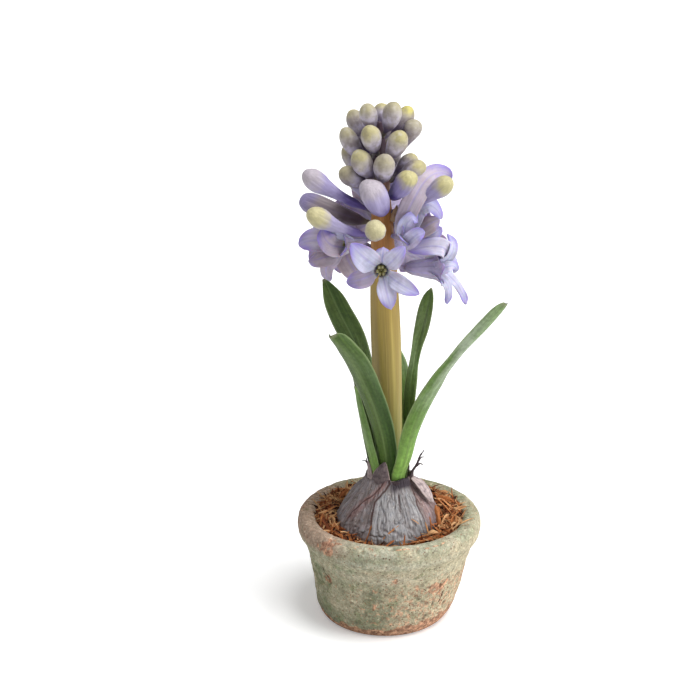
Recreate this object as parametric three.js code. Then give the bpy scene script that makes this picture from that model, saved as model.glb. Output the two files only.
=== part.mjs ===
// A forced hyacinth coming into flower: a bulb half sunk in potting soil and coir mulch in a small
// clay pot, with strap leaves around one thick stem and a head of buds and open florets.
// Millimetres, +Z up. The origin is on the standing surface, under the middle of the pot's rim.
// The pot's base sits a little to the -X side of its rim, and the stem leans to -X as it rises.
import * as THREE from "three";

// The pot.
const rimRadius = 55;
const mouthRadius = 43.5;
const rimRollCentreZ = 57.5;
const rimRollHeight = 6.5;
const rimRollStep = 30;
const potFootRadius = 38.5;
const footRounding = 2.5;
const potFloor = 8;
const drainHoleRadius = 6;
const potSides = 36;
const baseShift = -2.5;
const shiftEndsAt = 24;
// The outside of the pot below its rim, and the inside up to the roll, as [height, radius] pairs.
const outerWall = [
  [0, potFootRadius - footRounding],
  [1.2, potFootRadius],
  [4.5, 40.4],
  [12, 42.6],
  [22, 44.8],
  [32, 46.8],
  [38, 47.8],
  [42, 49.4],
  [47, 51.9],
  [53, 54.2],
];
const innerWall = [
  [potFloor, 33.5],
  [12, 36.5],
  [30, 40.3],
  [50, 43],
  [rimRollCentreZ, mouthRadius],
];

// The soil and the mulch ring that lies on it.
const seatGap = 0.3;
const soilTop = 47;
const mulchTop = 55;
const mulchSides = 36;
const mulchWallGap = 0.9;
const mulchTaper = 0.7;
const mulchShoulder = 1.5;
const mulchInnerRise = 0.6;
// The uneven top: how high its bumps stand, how deep they reach, and how many go round.
const mulchBump = 0.9;
const mulchBumpDepth = 2;
const mulchWaves = [7, 11];

// The bulb, from its basal plate to the open neck that the leaves and the stem rise out of.
const bulbRadius = 31.7;
const bulbWidestZ = 55;
const bulbBottom = 24;
const neckRadius = 13.8;
const neckTop = 88.5;
const neckWall = 1;
const neckFloor = 83.5;
const bulbSides = 30;

// The stem: its middle line leans by this much for each millimetre above the neck.
const stemRootX = 0.4;
const leanStartsAt = 94;
const stemLean = -0.039;
const stemBottom = neckFloor + seatGap;
const stemTop = 297;
const stemSides = 18;
// Height and radius, from inside the neck to the tip of the flowering part.
const stemProfile = [
  [stemBottom, 6.6],
  [100, 7.3],
  [130, 8.1],
  [200, 8.1],
  [222, 7],
  [245, 5.8],
  [270, 4.4],
  [288, 2.8],
  [stemTop, 1.4],
];

// Leaves: the middle line from the neck to the tip, the half width, how deep the blade is
// channelled, and the azimuth that the outer face turns to at the base and at the tip.
// Azimuth 0 faces -Y, and 90 faces +X.
const leafThickness = 1.8;
const leafRows = 11;
const leafBaseGap = 0.9;
const leafEndZ = neckFloor + leafBaseGap;
// Shares of a blade's length and width: it starts at baseSpread of its width, has all of it from
// fullWidthAt on, and stops at bladeEnd of its path. A higher tipDelay keeps it broad for longer,
// and a lower tipBluntness makes its end rounder.
const bladeEnd = 0.985;
const baseSpread = 0.82;
const fullWidthAt = 0.3;
const tipDelay = 5;
const tipBluntness = 0.7;
const leaves = [
  {
    name: "leaf_front_right",
    path: [
      [5.3, -8.9, leafEndZ],
      [5.5, -9.1, 89.5],
      [8.1, -13.4, 101],
      [11, -18, 118],
      [16, -26, 137],
      [24, -37, 158],
      [32.5, -48, 176],
      [39, -55, 187],
      [49, -63, 202],
      [57.5, -70.5, 215],
    ],
    halfWidth: 5.4,
    channel: 0.25,
    turn: [28, 10],
  },
  {
    name: "leaf_front_left",
    path: [
      [-1.6, -8.3, leafEndZ],
      [-1.9, -9.3, 101],
      [-4, -12.4, 116],
      [-8, -16.5, 133],
      [-14, -21.5, 151],
      [-22, -28, 169],
      [-34, -37, 186],
    ],
    halfWidth: 7.6,
    channel: 0.3,
    turn: [-12, -24],
  },
  {
    name: "leaf_back_left",
    path: [
      [-9.4, 3.6, leafEndZ],
      [-12, 5.5, 107],
      [-14, 9, 124],
      [-16, 13, 144],
      [-20.5, 17, 163],
      [-29.5, 20, 182],
      [-38.5, 22, 202],
    ],
    halfWidth: 8,
    channel: 0.22,
    turn: [-110, -175],
  },
  {
    name: "leaf_back_right",
    path: [
      [8.9, 4.9, leafEndZ],
      [9.3, 5.2, 89.5],
      [13, 7, 101],
      [14.5, 10.5, 121],
      [14.5, 14.5, 139],
      [16, 18, 156],
      [19.5, 22.5, 172],
      [24, 27, 192],
    ],
    halfWidth: 5,
    channel: 0.2,
    turn: [120, 140],
  },
  {
    name: "leaf_left",
    path: [
      [-7.6, -6.7, leafEndZ],
      [-9.6, -8, 99],
      [-13, -8, 113],
      [-17, -7.4, 130],
      [-20.5, -7, 146],
    ],
    halfWidth: 4,
    channel: 0.25,
    turn: [-50, -70],
  },
  {
    name: "leaf_back",
    path: [
      [0.4, 10.4, leafEndZ],
      [1, 13, 105],
      [1, 19, 128],
      [1, 31, 145],
      [-1, 44, 152],
      [-4, 57, 154],
      [-8, 70.5, 152],
    ],
    halfWidth: 6,
    channel: 0.22,
    turn: [180, 184],
  },
];

// Papery pieces of the bulb's dry outer coat that have come away from it.
const flapThickness = 0.9;
const flapRows = 6;
const tunicPieces = [
  {
    name: "tunic_flap_right",
    path: [
      [14.5, -4.1, 88.2],
      [20.5, -5, 85],
      [26.5, -5.6, 79.5],
      [30.5, -6, 73],
    ],
    halfWidth: 4.6,
    channel: 0.18,
    turn: [74, 74],
  },
  {
    name: "tunic_scale_front",
    path: [
      [-8.2, -12.1, 88.8],
      [-7.4, -12.4, 94],
      [-6.2, -13.4, 101.5],
    ],
    halfWidth: 5.6,
    channel: 0.2,
    turn: [-34, -34],
  },
];

// Florets and buds. Azimuth is the side of the stem, as above, footZ the height where the stalk
// leaves the stem, rise the angle above level at the foot and at the end, between which the axis
// bends evenly, and length the way along the axis to the bud's tip, or to the mouth of an open
// floret.
const stalkRadius = 1.3;
const tightBuds = [
  { azimuth: -36, footZ: 291.5, rise: [45, 82], length: 17, width: 9.8 },
  { azimuth: 38, footZ: 291.5, rise: [45, 82], length: 17, width: 10.6 },
  { azimuth: 100, footZ: 286, rise: [40, 75], length: 23, width: 10.2 },
  { azimuth: 172, footZ: 291.5, rise: [45, 82], length: 16, width: 9.8 },
  { azimuth: -113, footZ: 285, rise: [35, 75], length: 22, width: 10.2 },
  { azimuth: -75, footZ: 277, rise: [25, 80], length: 26, width: 9.6 },
  { azimuth: -19, footZ: 280.5, rise: [30, 68], length: 23, width: 11 },
  { azimuth: 32, footZ: 277, rise: [30, 66], length: 24, width: 11.2 },
  { azimuth: 80, footZ: 276.5, rise: [30, 68], length: 27, width: 10 },
  { azimuth: 128, footZ: 277, rise: [30, 68], length: 24, width: 10.4 },
  { azimuth: 176, footZ: 278, rise: [30, 68], length: 24, width: 10.4 },
  { azimuth: -140, footZ: 276, rise: [30, 68], length: 24, width: 10.4 },
  { azimuth: -35, footZ: 267, rise: [25, 66], length: 25, width: 11.4 },
  { azimuth: 4, footZ: 265, rise: [25, 66], length: 25.5, width: 11.8 },
  { azimuth: 77, footZ: 265.5, rise: [20, 50], length: 25.5, width: 11.4 },
  { azimuth: -106, footZ: 264.5, rise: [25, 66], length: 27, width: 10.4 },
  { azimuth: -62, footZ: 261.5, rise: [20, 42], length: 25, width: 10.4 },
  { azimuth: 118, footZ: 264, rise: [22, 60], length: 25, width: 10.4 },
  { azimuth: 160, footZ: 265, rise: [22, 60], length: 25, width: 10.4 },
  { azimuth: -154, footZ: 263, rise: [22, 60], length: 25, width: 10.4 },
];
const longBuds = [
  { azimuth: 36, footZ: 256, rise: [20, 60], length: 27, width: 11 },
  { azimuth: -12, footZ: 249, rise: [25, 66], length: 28, width: 12.8 },
  { azimuth: -60, footZ: 248, rise: [25, 38], length: 50, width: 11.5 },
  { azimuth: -52, footZ: 234, rise: [15, 34], length: 49, width: 11.2 },
  { azimuth: -112, footZ: 240, rise: [5, 22], length: 45, width: 12.5 },
  { azimuth: -7, footZ: 239, rise: [5, 20], length: 38.5, width: 11.4 },
  { azimuth: 65, footZ: 247.5, rise: [20, 44], length: 41, width: 11 },
  { azimuth: 162, footZ: 250, rise: [15, 40], length: 38, width: 11.5 },
  { azimuth: -158, footZ: 247, rise: [10, 34], length: 36, width: 11.5 },
];
// petal is a petal's length along its middle, and open the angle between the floret's axis and
// the petal's tip. The petals' own shares of that length start at the petal that roll turns away
// from the upper side, and go clockwise as seen by someone who faces the flower.
const openFlorets = [
  {
    azimuth: -3,
    footZ: 222,
    rise: [0, 4],
    length: 30,
    petal: 22,
    open: 108,
    roll: 0,
    shares: [0.5, 0.95, 1.1, 0.9, 0.8, 1.1],
  },
  {
    azimuth: -68,
    footZ: 232,
    rise: [-5, -12],
    length: 25,
    petal: 22,
    open: 74,
    roll: 20,
    shares: [0.85, 1, 1, 1, 1, 0.9],
  },
  {
    azimuth: 87,
    footZ: 218,
    rise: [-2, -6],
    length: 26,
    petal: 21,
    open: 112,
    roll: 20,
    shares: [0.8, 1, 1.1, 1.1, 1, 0.8],
  },
  {
    azimuth: 48,
    footZ: 232.5,
    rise: [5, 15],
    length: 20,
    petal: 17,
    open: 80,
    roll: 10,
    shares: [0.9, 1, 0.9, 0.8, 0.8, 0.8],
  },
  {
    azimuth: 101,
    footZ: 239,
    rise: [20, 40],
    length: 21,
    petal: 21,
    open: 70,
    roll: 0,
    shares: [1, 0.9, 0.8, 0.8, 0.8, 0.9],
  },
  {
    azimuth: 150,
    footZ: 221,
    rise: [0, 4],
    length: 27,
    petal: 20,
    open: 100,
    roll: 30,
    shares: [1, 1, 1, 1, 1, 1],
  },
  {
    azimuth: -138,
    footZ: 224,
    rise: [0, 6],
    length: 27,
    petal: 18,
    open: 100,
    roll: 0,
    shares: [1, 1, 1, 1, 1, 1],
  },
  {
    azimuth: 188,
    footZ: 236,
    rise: [5, 12],
    length: 25,
    petal: 18,
    open: 80,
    roll: 30,
    shares: [0.9, 1, 1, 1, 1, 0.9],
  },
];
const petalCount = 6;
const columnsPerPetal = 4;
const petalThickness = 0.9;
const petalEdgeThickness = 0.4;
const sinusReach = 0.2;
// A petal leaves the mouth of the tube at this angle to the axis, and its bend is summed up in
// this many steps. The two powers give it broad shoulders and a short point.
const petalStartAngle = 20;
const petalSteps = 8;
const petalShoulder = 1.6;
const petalPoint = 0.8;
const petalRows = [0.02, 0.55, 1];
const tubeMouthRadius = 3.4;
const tubeWall = 0.9;
const throatDepth = 0.45;
const throatRadius = 1.7;
// Share of the way along the tube, and its outer radius.
const tubeOutline = [
  [0, stalkRadius],
  [0.2, stalkRadius],
  [0.38, 2.7],
  [0.65, 2.5],
];
// Stamens, from the throat: radii, and heights above the mouth.
const stamenSides = 6;
const filamentRadius = 1.1;
const antherRadius = 1.9;
const antherTipRadius = 1.2;
const antherHeights = [-1, 1.5, 4];

// Distance along the bud as a share of its length, and radius as a share of its half width.
const tightBudOutline = [
  [0.1, 0.25],
  [0.32, 0.62],
  [0.55, 0.93],
  [0.72, 1],
  [0.88, 0.8],
  [0.97, 0.42],
];
const longBudOutline = [
  [0.15, 0.26],
  [0.27, 0.46],
  [0.45, 0.44],
  [0.64, 0.68],
  [0.8, 1],
  [0.92, 0.82],
  [0.98, 0.42],
];
const budSides = 8;

const finishes = {
  pot: { color: 0xa9a987, roughness: 0.95 },
  soil: { color: 0x3a2a1e, roughness: 1 },
  mulch: { color: 0x8a5530, roughness: 1 },
  bulb: { color: 0x857b80, roughness: 0.8 },
  tunic: { color: 0x8b7f83, roughness: 0.8 },
  stem: { color: 0xb5903f, roughness: 0.6 },
  leaf: { color: 0x4f7d3a, roughness: 0.5 },
  bud: { color: 0xa9a37f, roughness: 0.5 },
  longBud: { color: 0x9d94bd, roughness: 0.5 },
  petal: { color: 0xb3abd8, roughness: 0.5 },
  stamens: { color: 0x8d8a3c, roughness: 0.6 },
};

const plant = new THREE.Group();

function vector(x, y, z) {
  return new THREE.Vector3(x, y, z);
}

function outwards(azimuth) {
  const angle = THREE.MathUtils.degToRad(azimuth);
  return vector(Math.sin(angle), -Math.cos(angle), 0);
}

function addPiece(name, geometry, finish) {
  const material = new THREE.MeshStandardMaterial({ ...finish, metalness: 0 });
  const mesh = new THREE.Mesh(geometry, material);
  mesh.name = name;
  plant.add(mesh);
}

// Value at x on the straight lines between [x, value] pairs.
function along(pairs, x) {
  const after = pairs.findIndex((pair) => pair[0] >= x);
  if (after === 0) return pairs[0][1];
  if (after < 0) return pairs.at(-1)[1];
  const [x0, y0] = pairs[after - 1];
  const [x1, y1] = pairs[after];
  return y0 + ((y1 - y0) * (x - x0)) / (x1 - x0);
}

// Six times the volume inside the triangles, above zero when they face outwards.
function signedVolume(points, faces) {
  const sum = (total, [a, b, c]) => {
    const across = vector(0, 0, 0).crossVectors(points[b], points[c]);
    return total + points[a].dot(across);
  };
  return faces.reduce(sum, 0);
}

// A closed body skinned over rings that all have as many points. A fan of triangles round the
// ring's middle closes the first and the last ring.
function bodyFromRings(rings) {
  const count = rings[0].length;
  const points = rings.flat();
  const faces = [];
  for (let row = 0; row < rings.length - 1; row++) {
    for (let i = 0; i < count; i++) {
      const here = row * count + i;
      const beside = row * count + ((i + 1) % count);
      faces.push([here, beside, beside + count]);
      faces.push([here, beside + count, here + count]);
    }
  }
  for (const isLast of [false, true]) {
    const start = isLast ? points.length - 1 - count : 0;
    const ring = isLast ? rings.at(-1) : rings[0];
    const middle = vector(0, 0, 0);
    ring.forEach((point) => middle.addScaledVector(point, 1 / count));
    points.push(middle);
    for (let i = 0; i < count; i++) {
      const here = start + i;
      const beside = start + ((i + 1) % count);
      const fan = [points.length - 1, here, beside];
      faces.push(isLast ? fan : [fan[0], fan[2], fan[1]]);
    }
  }
  const facesOut = signedVolume(points, faces) > 0;
  const corners = faces.flatMap(([a, b, c]) => (facesOut ? [a, b, c] : [a, c, b]));
  const geometry = new THREE.BufferGeometry().setFromPoints(points);
  geometry.setIndex(corners);
  geometry.computeVertexNormals();
  return geometry;
}

// A turned body about Z from [radius, height] pairs that run up the outside and back inside.
function turned(outline, sides) {
  const profile = outline.map(([radius, height]) => new THREE.Vector2(radius, height));
  const geometry = new THREE.LatheGeometry(profile, sides);
  return geometry.rotateX(Math.PI / 2);
}

// How far the pot's middle lies from the rim's middle at a height.
function potShift(z) {
  return baseShift * Math.max(0, 1 - z / shiftEndsAt);
}

// Slides every point of a turned body to one side, so that it follows the pot's own slant.
function slantWithPot(geometry) {
  const position = geometry.getAttribute("position");
  for (let i = 0; i < position.count; i++) {
    position.setX(i, position.getX(i) + potShift(position.getZ(i)));
  }
  geometry.computeVertexNormals();
  return geometry;
}

function makePot() {
  const outside = outerWall.map(([height, radius]) => [radius, height]);
  const rollRadius = (rimRadius - mouthRadius) / 2;
  const rollMiddle = rimRadius - rollRadius;
  const roll = [];
  for (let angle = 0; angle < 180; angle += rimRollStep) {
    const turn = THREE.MathUtils.degToRad(angle);
    const radius = rollMiddle + rollRadius * Math.cos(turn);
    roll.push([radius, rimRollCentreZ + rimRollHeight * Math.sin(turn)]);
  }
  const inside = innerWall.map(([height, radius]) => [radius, height]).reverse();
  const floor = [drainHoleRadius, potFloor];
  const hole = [drainHoleRadius, 0];
  const outline = [hole, ...outside, ...roll, ...inside, floor, hole];
  addPiece("pot", slantWithPot(turned(outline, potSides)), finishes.pot);
}

// The bulb's outer radius as [height, radius] pairs.
const bulbWall = [
  [bulbBottom, 9],
  [27, 15],
  [31, 21.5],
  [37, 26.8],
  [45, 30.4],
  [bulbWidestZ, bulbRadius],
  [60, 31.3],
  [66, 28.8],
  [72, 24.9],
  [79, 19.6],
  [84, 15.6],
  [neckTop, neckRadius],
];

function makeBulb() {
  const outside = bulbWall.map(([height, radius]) => [radius, height]);
  const inner = neckRadius - neckWall;
  const socket = [
    [inner, neckTop],
    [inner, neckFloor],
    [0, neckFloor],
  ];
  const outline = [[0, bulbBottom], ...outside, ...socket];
  addPiece("bulb", turned(outline, bulbSides), finishes.bulb);
}

// Soil fills the pot below the mulch, and cups the lower half of the bulb.
function makeSoil() {
  const wallHeights = [12, 30];
  const floorZ = potFloor + seatGap;
  const wall = wallHeights.map((height) => [along(innerWall, height) - seatGap, height]);
  const wallTop = [along(innerWall, soilTop) - seatGap, soilTop];
  const lowerBulb = bulbWall.filter(([height]) => height < soilTop).reverse();
  const cup = lowerBulb.map(([height, radius]) => [radius + seatGap, height - seatGap]);
  const cupTop = [along(bulbWall, soilTop) + seatGap, soilTop];
  const outline = [
    [0, floorZ],
    [along(innerWall, floorZ) - seatGap, floorZ],
    ...wall,
    wallTop,
    cupTop,
    ...cup,
    [0, bulbBottom - seatGap],
  ];
  addPiece("potting_soil", slantWithPot(turned(outline, potSides)), finishes.soil);
}

// The mulch is a ring of loose coir shreds with an uneven top, between the bulb and the wall.
function makeMulch() {
  const bottom = soilTop + seatGap;
  const inner = bulbRadius + seatGap;
  const outer = mouthRadius - mulchWallGap;
  const crown = (inner + outer) / 2;
  const outline = [
    [inner, bottom],
    [outer - mulchTaper, bottom],
    [outer, mulchTop - mulchShoulder],
    [crown, mulchTop],
    [inner + seatGap, mulchTop + mulchInnerRise],
    [inner, bottom],
  ];
  const geometry = turned(outline, mulchSides);
  const position = geometry.getAttribute("position");
  for (let i = 0; i < position.count; i++) {
    const height = position.getZ(i);
    if (height < mulchTop - mulchBumpDepth) continue;
    const angle = Math.atan2(position.getY(i), position.getX(i));
    const bump = Math.sin(mulchWaves[0] * angle) * Math.cos(mulchWaves[1] * angle + height);
    position.setZ(i, height + mulchBump * bump);
  }
  geometry.computeVertexNormals();
  addPiece("coir_mulch", geometry, finishes.mulch);
}

function stemMiddle(z) {
  return stemRootX + stemLean * Math.max(0, z - leanStartsAt);
}

function makeStem() {
  const rings = stemProfile.map(([z, radius]) => {
    const ring = [];
    for (let i = 0; i < stemSides; i++) {
      const angle = (2 * Math.PI * i) / stemSides;
      const x = stemMiddle(z) + radius * Math.cos(angle);
      ring.push(vector(x, radius * Math.sin(angle), z));
    }
    return ring;
  });
  addPiece("stem", bodyFromRings(rings), finishes.stem);
}

// A blade carried along its middle line: lens-shaped across, channelled towards its inner face,
// and narrowed to the tip.
function bladeGeometry({ path, halfWidth, channel, turn }, thickness, rows) {
  const line = new THREE.CatmullRomCurve3(path.map((point) => vector(...point)));
  const across = [-1, -0.5, 0, 0.5, 1, 0.5, 0, -0.5];
  const innerSide = [0, 1, 1, 1, 0, -1, -1, -1];
  const rings = [];
  for (let row = 0; row < rows; row++) {
    const share = (bladeEnd * row) / (rows - 1);
    const middle = line.getPointAt(share);
    const tangent = line.getTangentAt(share);
    const azimuth = THREE.MathUtils.degToRad(THREE.MathUtils.lerp(turn[0], turn[1], share));
    const side = vector(Math.cos(azimuth), Math.sin(azimuth), 0);
    const face = vector(0, 0, 0).crossVectors(tangent, side).normalize();
    side.crossVectors(face, tangent);
    const opened = THREE.MathUtils.smoothstep(share, 0, fullWidthAt);
    const spread = THREE.MathUtils.lerp(baseSpread, 1, opened);
    const width = halfWidth * spread * (1 - share ** tipDelay) ** tipBluntness;
    const ring = across.map((u, i) => {
      const bow = channel * width * u * u;
      const skin = (innerSide[i] * thickness * (1 - u * u)) / 2;
      const point = middle.clone();
      point.addScaledVector(side, u * width);
      return point.addScaledVector(face, bow + skin);
    });
    rings.push(ring);
  }
  return bodyFromRings(rings);
}

// The point at a distance along a floret's axis and a radius from it. The axis starts just off
// the stem, bends evenly over the floret's length, and runs on straight beyond that. Angle 0 is
// the upper side.
function floretPoint({ azimuth, footZ, rise, length }, distance, radius, angle) {
  const startRise = THREE.MathUtils.degToRad(rise[0]);
  const endRise = THREE.MathUtils.degToRad(rise[1]);
  const bend = (endRise - startRise) / length;
  const bent = Math.min(distance, length);
  const here = startRise + bend * bent;
  const straight = distance - bent;
  const over = (Math.sin(here) - Math.sin(startRise)) / bend + straight * Math.cos(here);
  const up = (Math.cos(startRise) - Math.cos(here)) / bend + straight * Math.sin(here);
  const footGap = seatGap + stalkRadius * Math.abs(Math.sin(startRise));
  const footRadius = along(stemProfile, footZ) + footGap;
  const aside = radius * Math.sin(angle);
  const above = radius * Math.cos(angle);
  const point = outwards(azimuth).multiplyScalar(footRadius + over - above * Math.sin(here));
  const level = THREE.MathUtils.degToRad(azimuth);
  point.x += stemMiddle(footZ) + aside * Math.cos(level);
  point.y += aside * Math.sin(level);
  point.z = footZ + up + above * Math.cos(here);
  return point;
}

function floretRing(floret, distance, radius, sides, roll) {
  const ring = [];
  for (let i = 0; i < sides; i++) {
    ring.push(floretPoint(floret, distance, radius, roll + (2 * Math.PI * i) / sides));
  }
  return ring;
}

function budGeometry(bud, outline) {
  const stalk = [0, stalkRadius];
  const body = outline.map(([share, wide]) => [share * bud.length, (wide * bud.width) / 2]);
  const rings = [stalk, ...body].map(([distance, radius]) =>
    floretRing(bud, distance, radius, budSides, 0),
  );
  return bodyFromRings(rings);
}

// Where a petal's middle line is after a share of its length: it starts along the tube and bends
// steadily outwards to the open angle at the tip. The last two values are the skin's direction.
function petalLine({ length, petal, open }, share) {
  const stepLength = (petal * share) / petalSteps;
  let distance = length;
  let radius = tubeMouthRadius - tubeWall / 2;
  let angle = THREE.MathUtils.degToRad(petalStartAngle);
  for (let step = 0; step < petalSteps; step++) {
    const part = ((step + 0.5) / petalSteps) * share;
    angle = THREE.MathUtils.degToRad(THREE.MathUtils.lerp(petalStartAngle, open, part));
    distance += stepLength * Math.cos(angle);
    radius += stepLength * Math.sin(angle);
  }
  return { distance, radius, back: -Math.sin(angle), out: Math.cos(angle) };
}

// An open floret is one skin: up the outside of the tube, along the back of six pointed petals,
// round their edges, and down their faces into the throat.
function openFloretGeometry(floret) {
  const columns = petalCount * columnsPerPetal;
  const roll = THREE.MathUtils.degToRad(floret.roll);
  const skinRows = [
    ...petalRows.map((share) => [share, 1]),
    ...petalRows.toReversed().map((share) => [share, -1]),
  ];
  const rings = tubeOutline.map(([share, radius]) =>
    floretRing(floret, share * floret.length, radius, columns, roll),
  );
  for (const [share, skin] of skinRows) {
    const ring = [];
    for (let i = 0; i < columns; i++) {
      const angle = roll + (2 * Math.PI * i) / columns;
      const nearest = Math.round(i / columnsPerPetal);
      const fromMiddle = Math.abs(i / columnsPerPetal - nearest) * 2;
      const fullness = (1 - fromMiddle ** petalShoulder) ** petalPoint;
      const lobe = fullness * floret.shares[nearest % petalCount];
      const reach = share * (sinusReach + (1 - sinusReach) * lobe);
      const middle = petalLine(floret, reach);
      const half = THREE.MathUtils.lerp(petalThickness, petalEdgeThickness, share) / 2;
      const distance = middle.distance + skin * half * middle.back;
      const radius = middle.radius + skin * half * middle.out;
      ring.push(floretPoint(floret, distance, radius, angle));
    }
    rings.push(ring);
  }
  rings.push(floretRing(floret, throatDepth * floret.length, throatRadius, columns, roll));
  return bodyFromRings(rings);
}

// The stamens round the style, as one slim body that stands in the throat.
function stamensGeometry(floret) {
  const rows = [
    [throatDepth * floret.length + seatGap, filamentRadius],
    [floret.length + antherHeights[0], filamentRadius],
    [floret.length + antherHeights[1], antherRadius],
    [floret.length + antherHeights[2], antherTipRadius],
  ];
  const rings = rows.map(([distance, radius]) =>
    floretRing(floret, distance, radius, stamenSides, 0),
  );
  return bodyFromRings(rings);
}

makePot();
makeSoil();
makeMulch();
makeBulb();
makeStem();
for (const piece of tunicPieces) {
  addPiece(piece.name, bladeGeometry(piece, flapThickness, flapRows), finishes.tunic);
}
for (const leaf of leaves) {
  addPiece(leaf.name, bladeGeometry(leaf, leafThickness, leafRows), finishes.leaf);
}
tightBuds.forEach((bud, i) => {
  addPiece(`bud_${i + 1}`, budGeometry(bud, tightBudOutline), finishes.bud);
});
longBuds.forEach((bud, i) => {
  addPiece(`long_bud_${i + 1}`, budGeometry(bud, longBudOutline), finishes.longBud);
});
openFlorets.forEach((floret, i) => {
  addPiece(`floret_${i + 1}`, openFloretGeometry(floret), finishes.petal);
  addPiece(`stamens_${i + 1}`, stamensGeometry(floret), finishes.stamens);
});

export default plant;
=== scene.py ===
import math

import bpy
import numpy as np
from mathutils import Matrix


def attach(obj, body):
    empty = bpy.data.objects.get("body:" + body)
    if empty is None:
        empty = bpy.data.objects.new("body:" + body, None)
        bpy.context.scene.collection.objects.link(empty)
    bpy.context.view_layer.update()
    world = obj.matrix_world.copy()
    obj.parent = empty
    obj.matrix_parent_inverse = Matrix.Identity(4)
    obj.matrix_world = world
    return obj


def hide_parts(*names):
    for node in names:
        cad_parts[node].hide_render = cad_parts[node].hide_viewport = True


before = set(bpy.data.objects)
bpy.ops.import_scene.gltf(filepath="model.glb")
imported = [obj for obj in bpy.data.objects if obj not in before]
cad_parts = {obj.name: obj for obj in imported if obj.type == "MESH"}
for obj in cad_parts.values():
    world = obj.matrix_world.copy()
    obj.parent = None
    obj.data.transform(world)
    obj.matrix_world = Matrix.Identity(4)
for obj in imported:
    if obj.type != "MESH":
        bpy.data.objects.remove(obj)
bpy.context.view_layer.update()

# A potted hyacinth coming into flower. The dictionaries hold millimetres and degrees, +Z up,
# with the origin on the floor under the middle of the pot's rim. Azimuth 0 faces -Y, 90 faces +X.
metres = 0.001


# Numbers, noise and curves

def smoothStep(low, high, x):  # 0 below low, 1 above high, and an even S between them
    t = np.clip((x - low) / (high - low), 0, 1)
    return t * t * (3 - 2 * t)


def window(x, low, lowFull, highFull, high):  # 1 from lowFull to highFull, 0 outside low and high
    return smoothStep(low, lowFull, x) * smoothStep(high, highFull, x)


def hump(x, wide):  # 1 at nought, falling away on both sides over the width
    return np.exp(-((x / wide) ** 2))


def unit(v):
    return v / np.linalg.norm(v, axis=-1, keepdims=True)


def together(*parts):  # numbers that fit each other's shape, as the axes of points
    return np.stack(np.broadcast_arrays(*parts), -1)


def onCircle(azimuth, radius, z):  # points round Z
    turn = np.radians(azimuth)
    return together(radius * np.sin(turn), -radius * np.cos(turn), z)


def wrapDegrees(angle):  # the same direction, from -180 to 180
    return (angle + 180) % 360 - 180


def cellValue(cells, seed):  # a repeatable number from -1 to 1 for each whole-numbered cell
    x, y, z = np.moveaxis(cells.astype(np.int64), -1, 0)
    mixed = (x * 73856093 ^ y * 19349663 ^ z * 83492791 ^ seed * 26544357) & 0xFFFFFFFF
    mixed = ((mixed ^ (mixed >> 15)) * 2246822519) & 0xFFFFFFFF
    mixed = ((mixed ^ (mixed >> 13)) * 1274126177) & 0xFFFFFFFF
    return ((mixed ^ (mixed >> 16)) & 0xFFFF) / 32767.5 - 1


def cellNoise(points, cell, seed=0):
    # each corner of a point's cell has its own number, and the point gets their smooth mix
    scaled = points / np.asarray(cell, float)
    corner = np.floor(scaled)
    part = scaled - corner
    part = part * part * (3 - 2 * part)
    total = 0
    for i in range(8):
        step = np.array([i & 1, i >> 1 & 1, i >> 2 & 1])
        weight = np.prod(np.where(step, part, 1 - part), axis=-1)
        total = total + weight * cellValue(corner + step, seed)
    return total


def roughNoise(points, cell, octaves=3, seed=0):  # noise on noise, each half as big and as deep
    cell = np.asarray(cell, float)
    return sum(cellNoise(points, cell / 2**i, seed + i) / 2**i for i in range(octaves))


def smoothCurve(knots, x):
    # a cubic between knots, whose slope at a knot comes from the knots on both sides of it
    knots = np.asarray(knots, float)
    places, values = knots[:, 0], knots[:, 1:]
    slopes = np.gradient(values, places, axis=0)
    x = np.clip(x, places[0], places[-1])
    i = np.clip(np.searchsorted(places, x, side="right") - 1, 0, len(places) - 2)
    step = (places[i + 1] - places[i])[..., None]
    t = (x - places[i])[..., None] / step
    a, b, slopeA, slopeB = values[i], values[i + 1], slopes[i] * step, slopes[i + 1] * step
    made = a + t * slopeA + t**2 * (3 * (b - a) - 2 * slopeA - slopeB)
    made = made + t**3 * (2 * (a - b) + slopeA + slopeB)
    return made[..., 0] if made.shape[-1] == 1 else made


def evenLine(points, count, smooth=True):  # points at even shares of the way along a line
    points = np.asarray(points, float)
    reach = np.cumsum(np.linalg.norm(np.diff(points, axis=0, prepend=points[:1]), axis=1))
    share = np.linspace(0, 1, count)
    if smooth:
        return smoothCurve(np.column_stack([reach / reach[-1], points]), share)
    return np.column_stack([np.interp(share * reach[-1], reach, axis) for axis in points.T])


# Meshes

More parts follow.
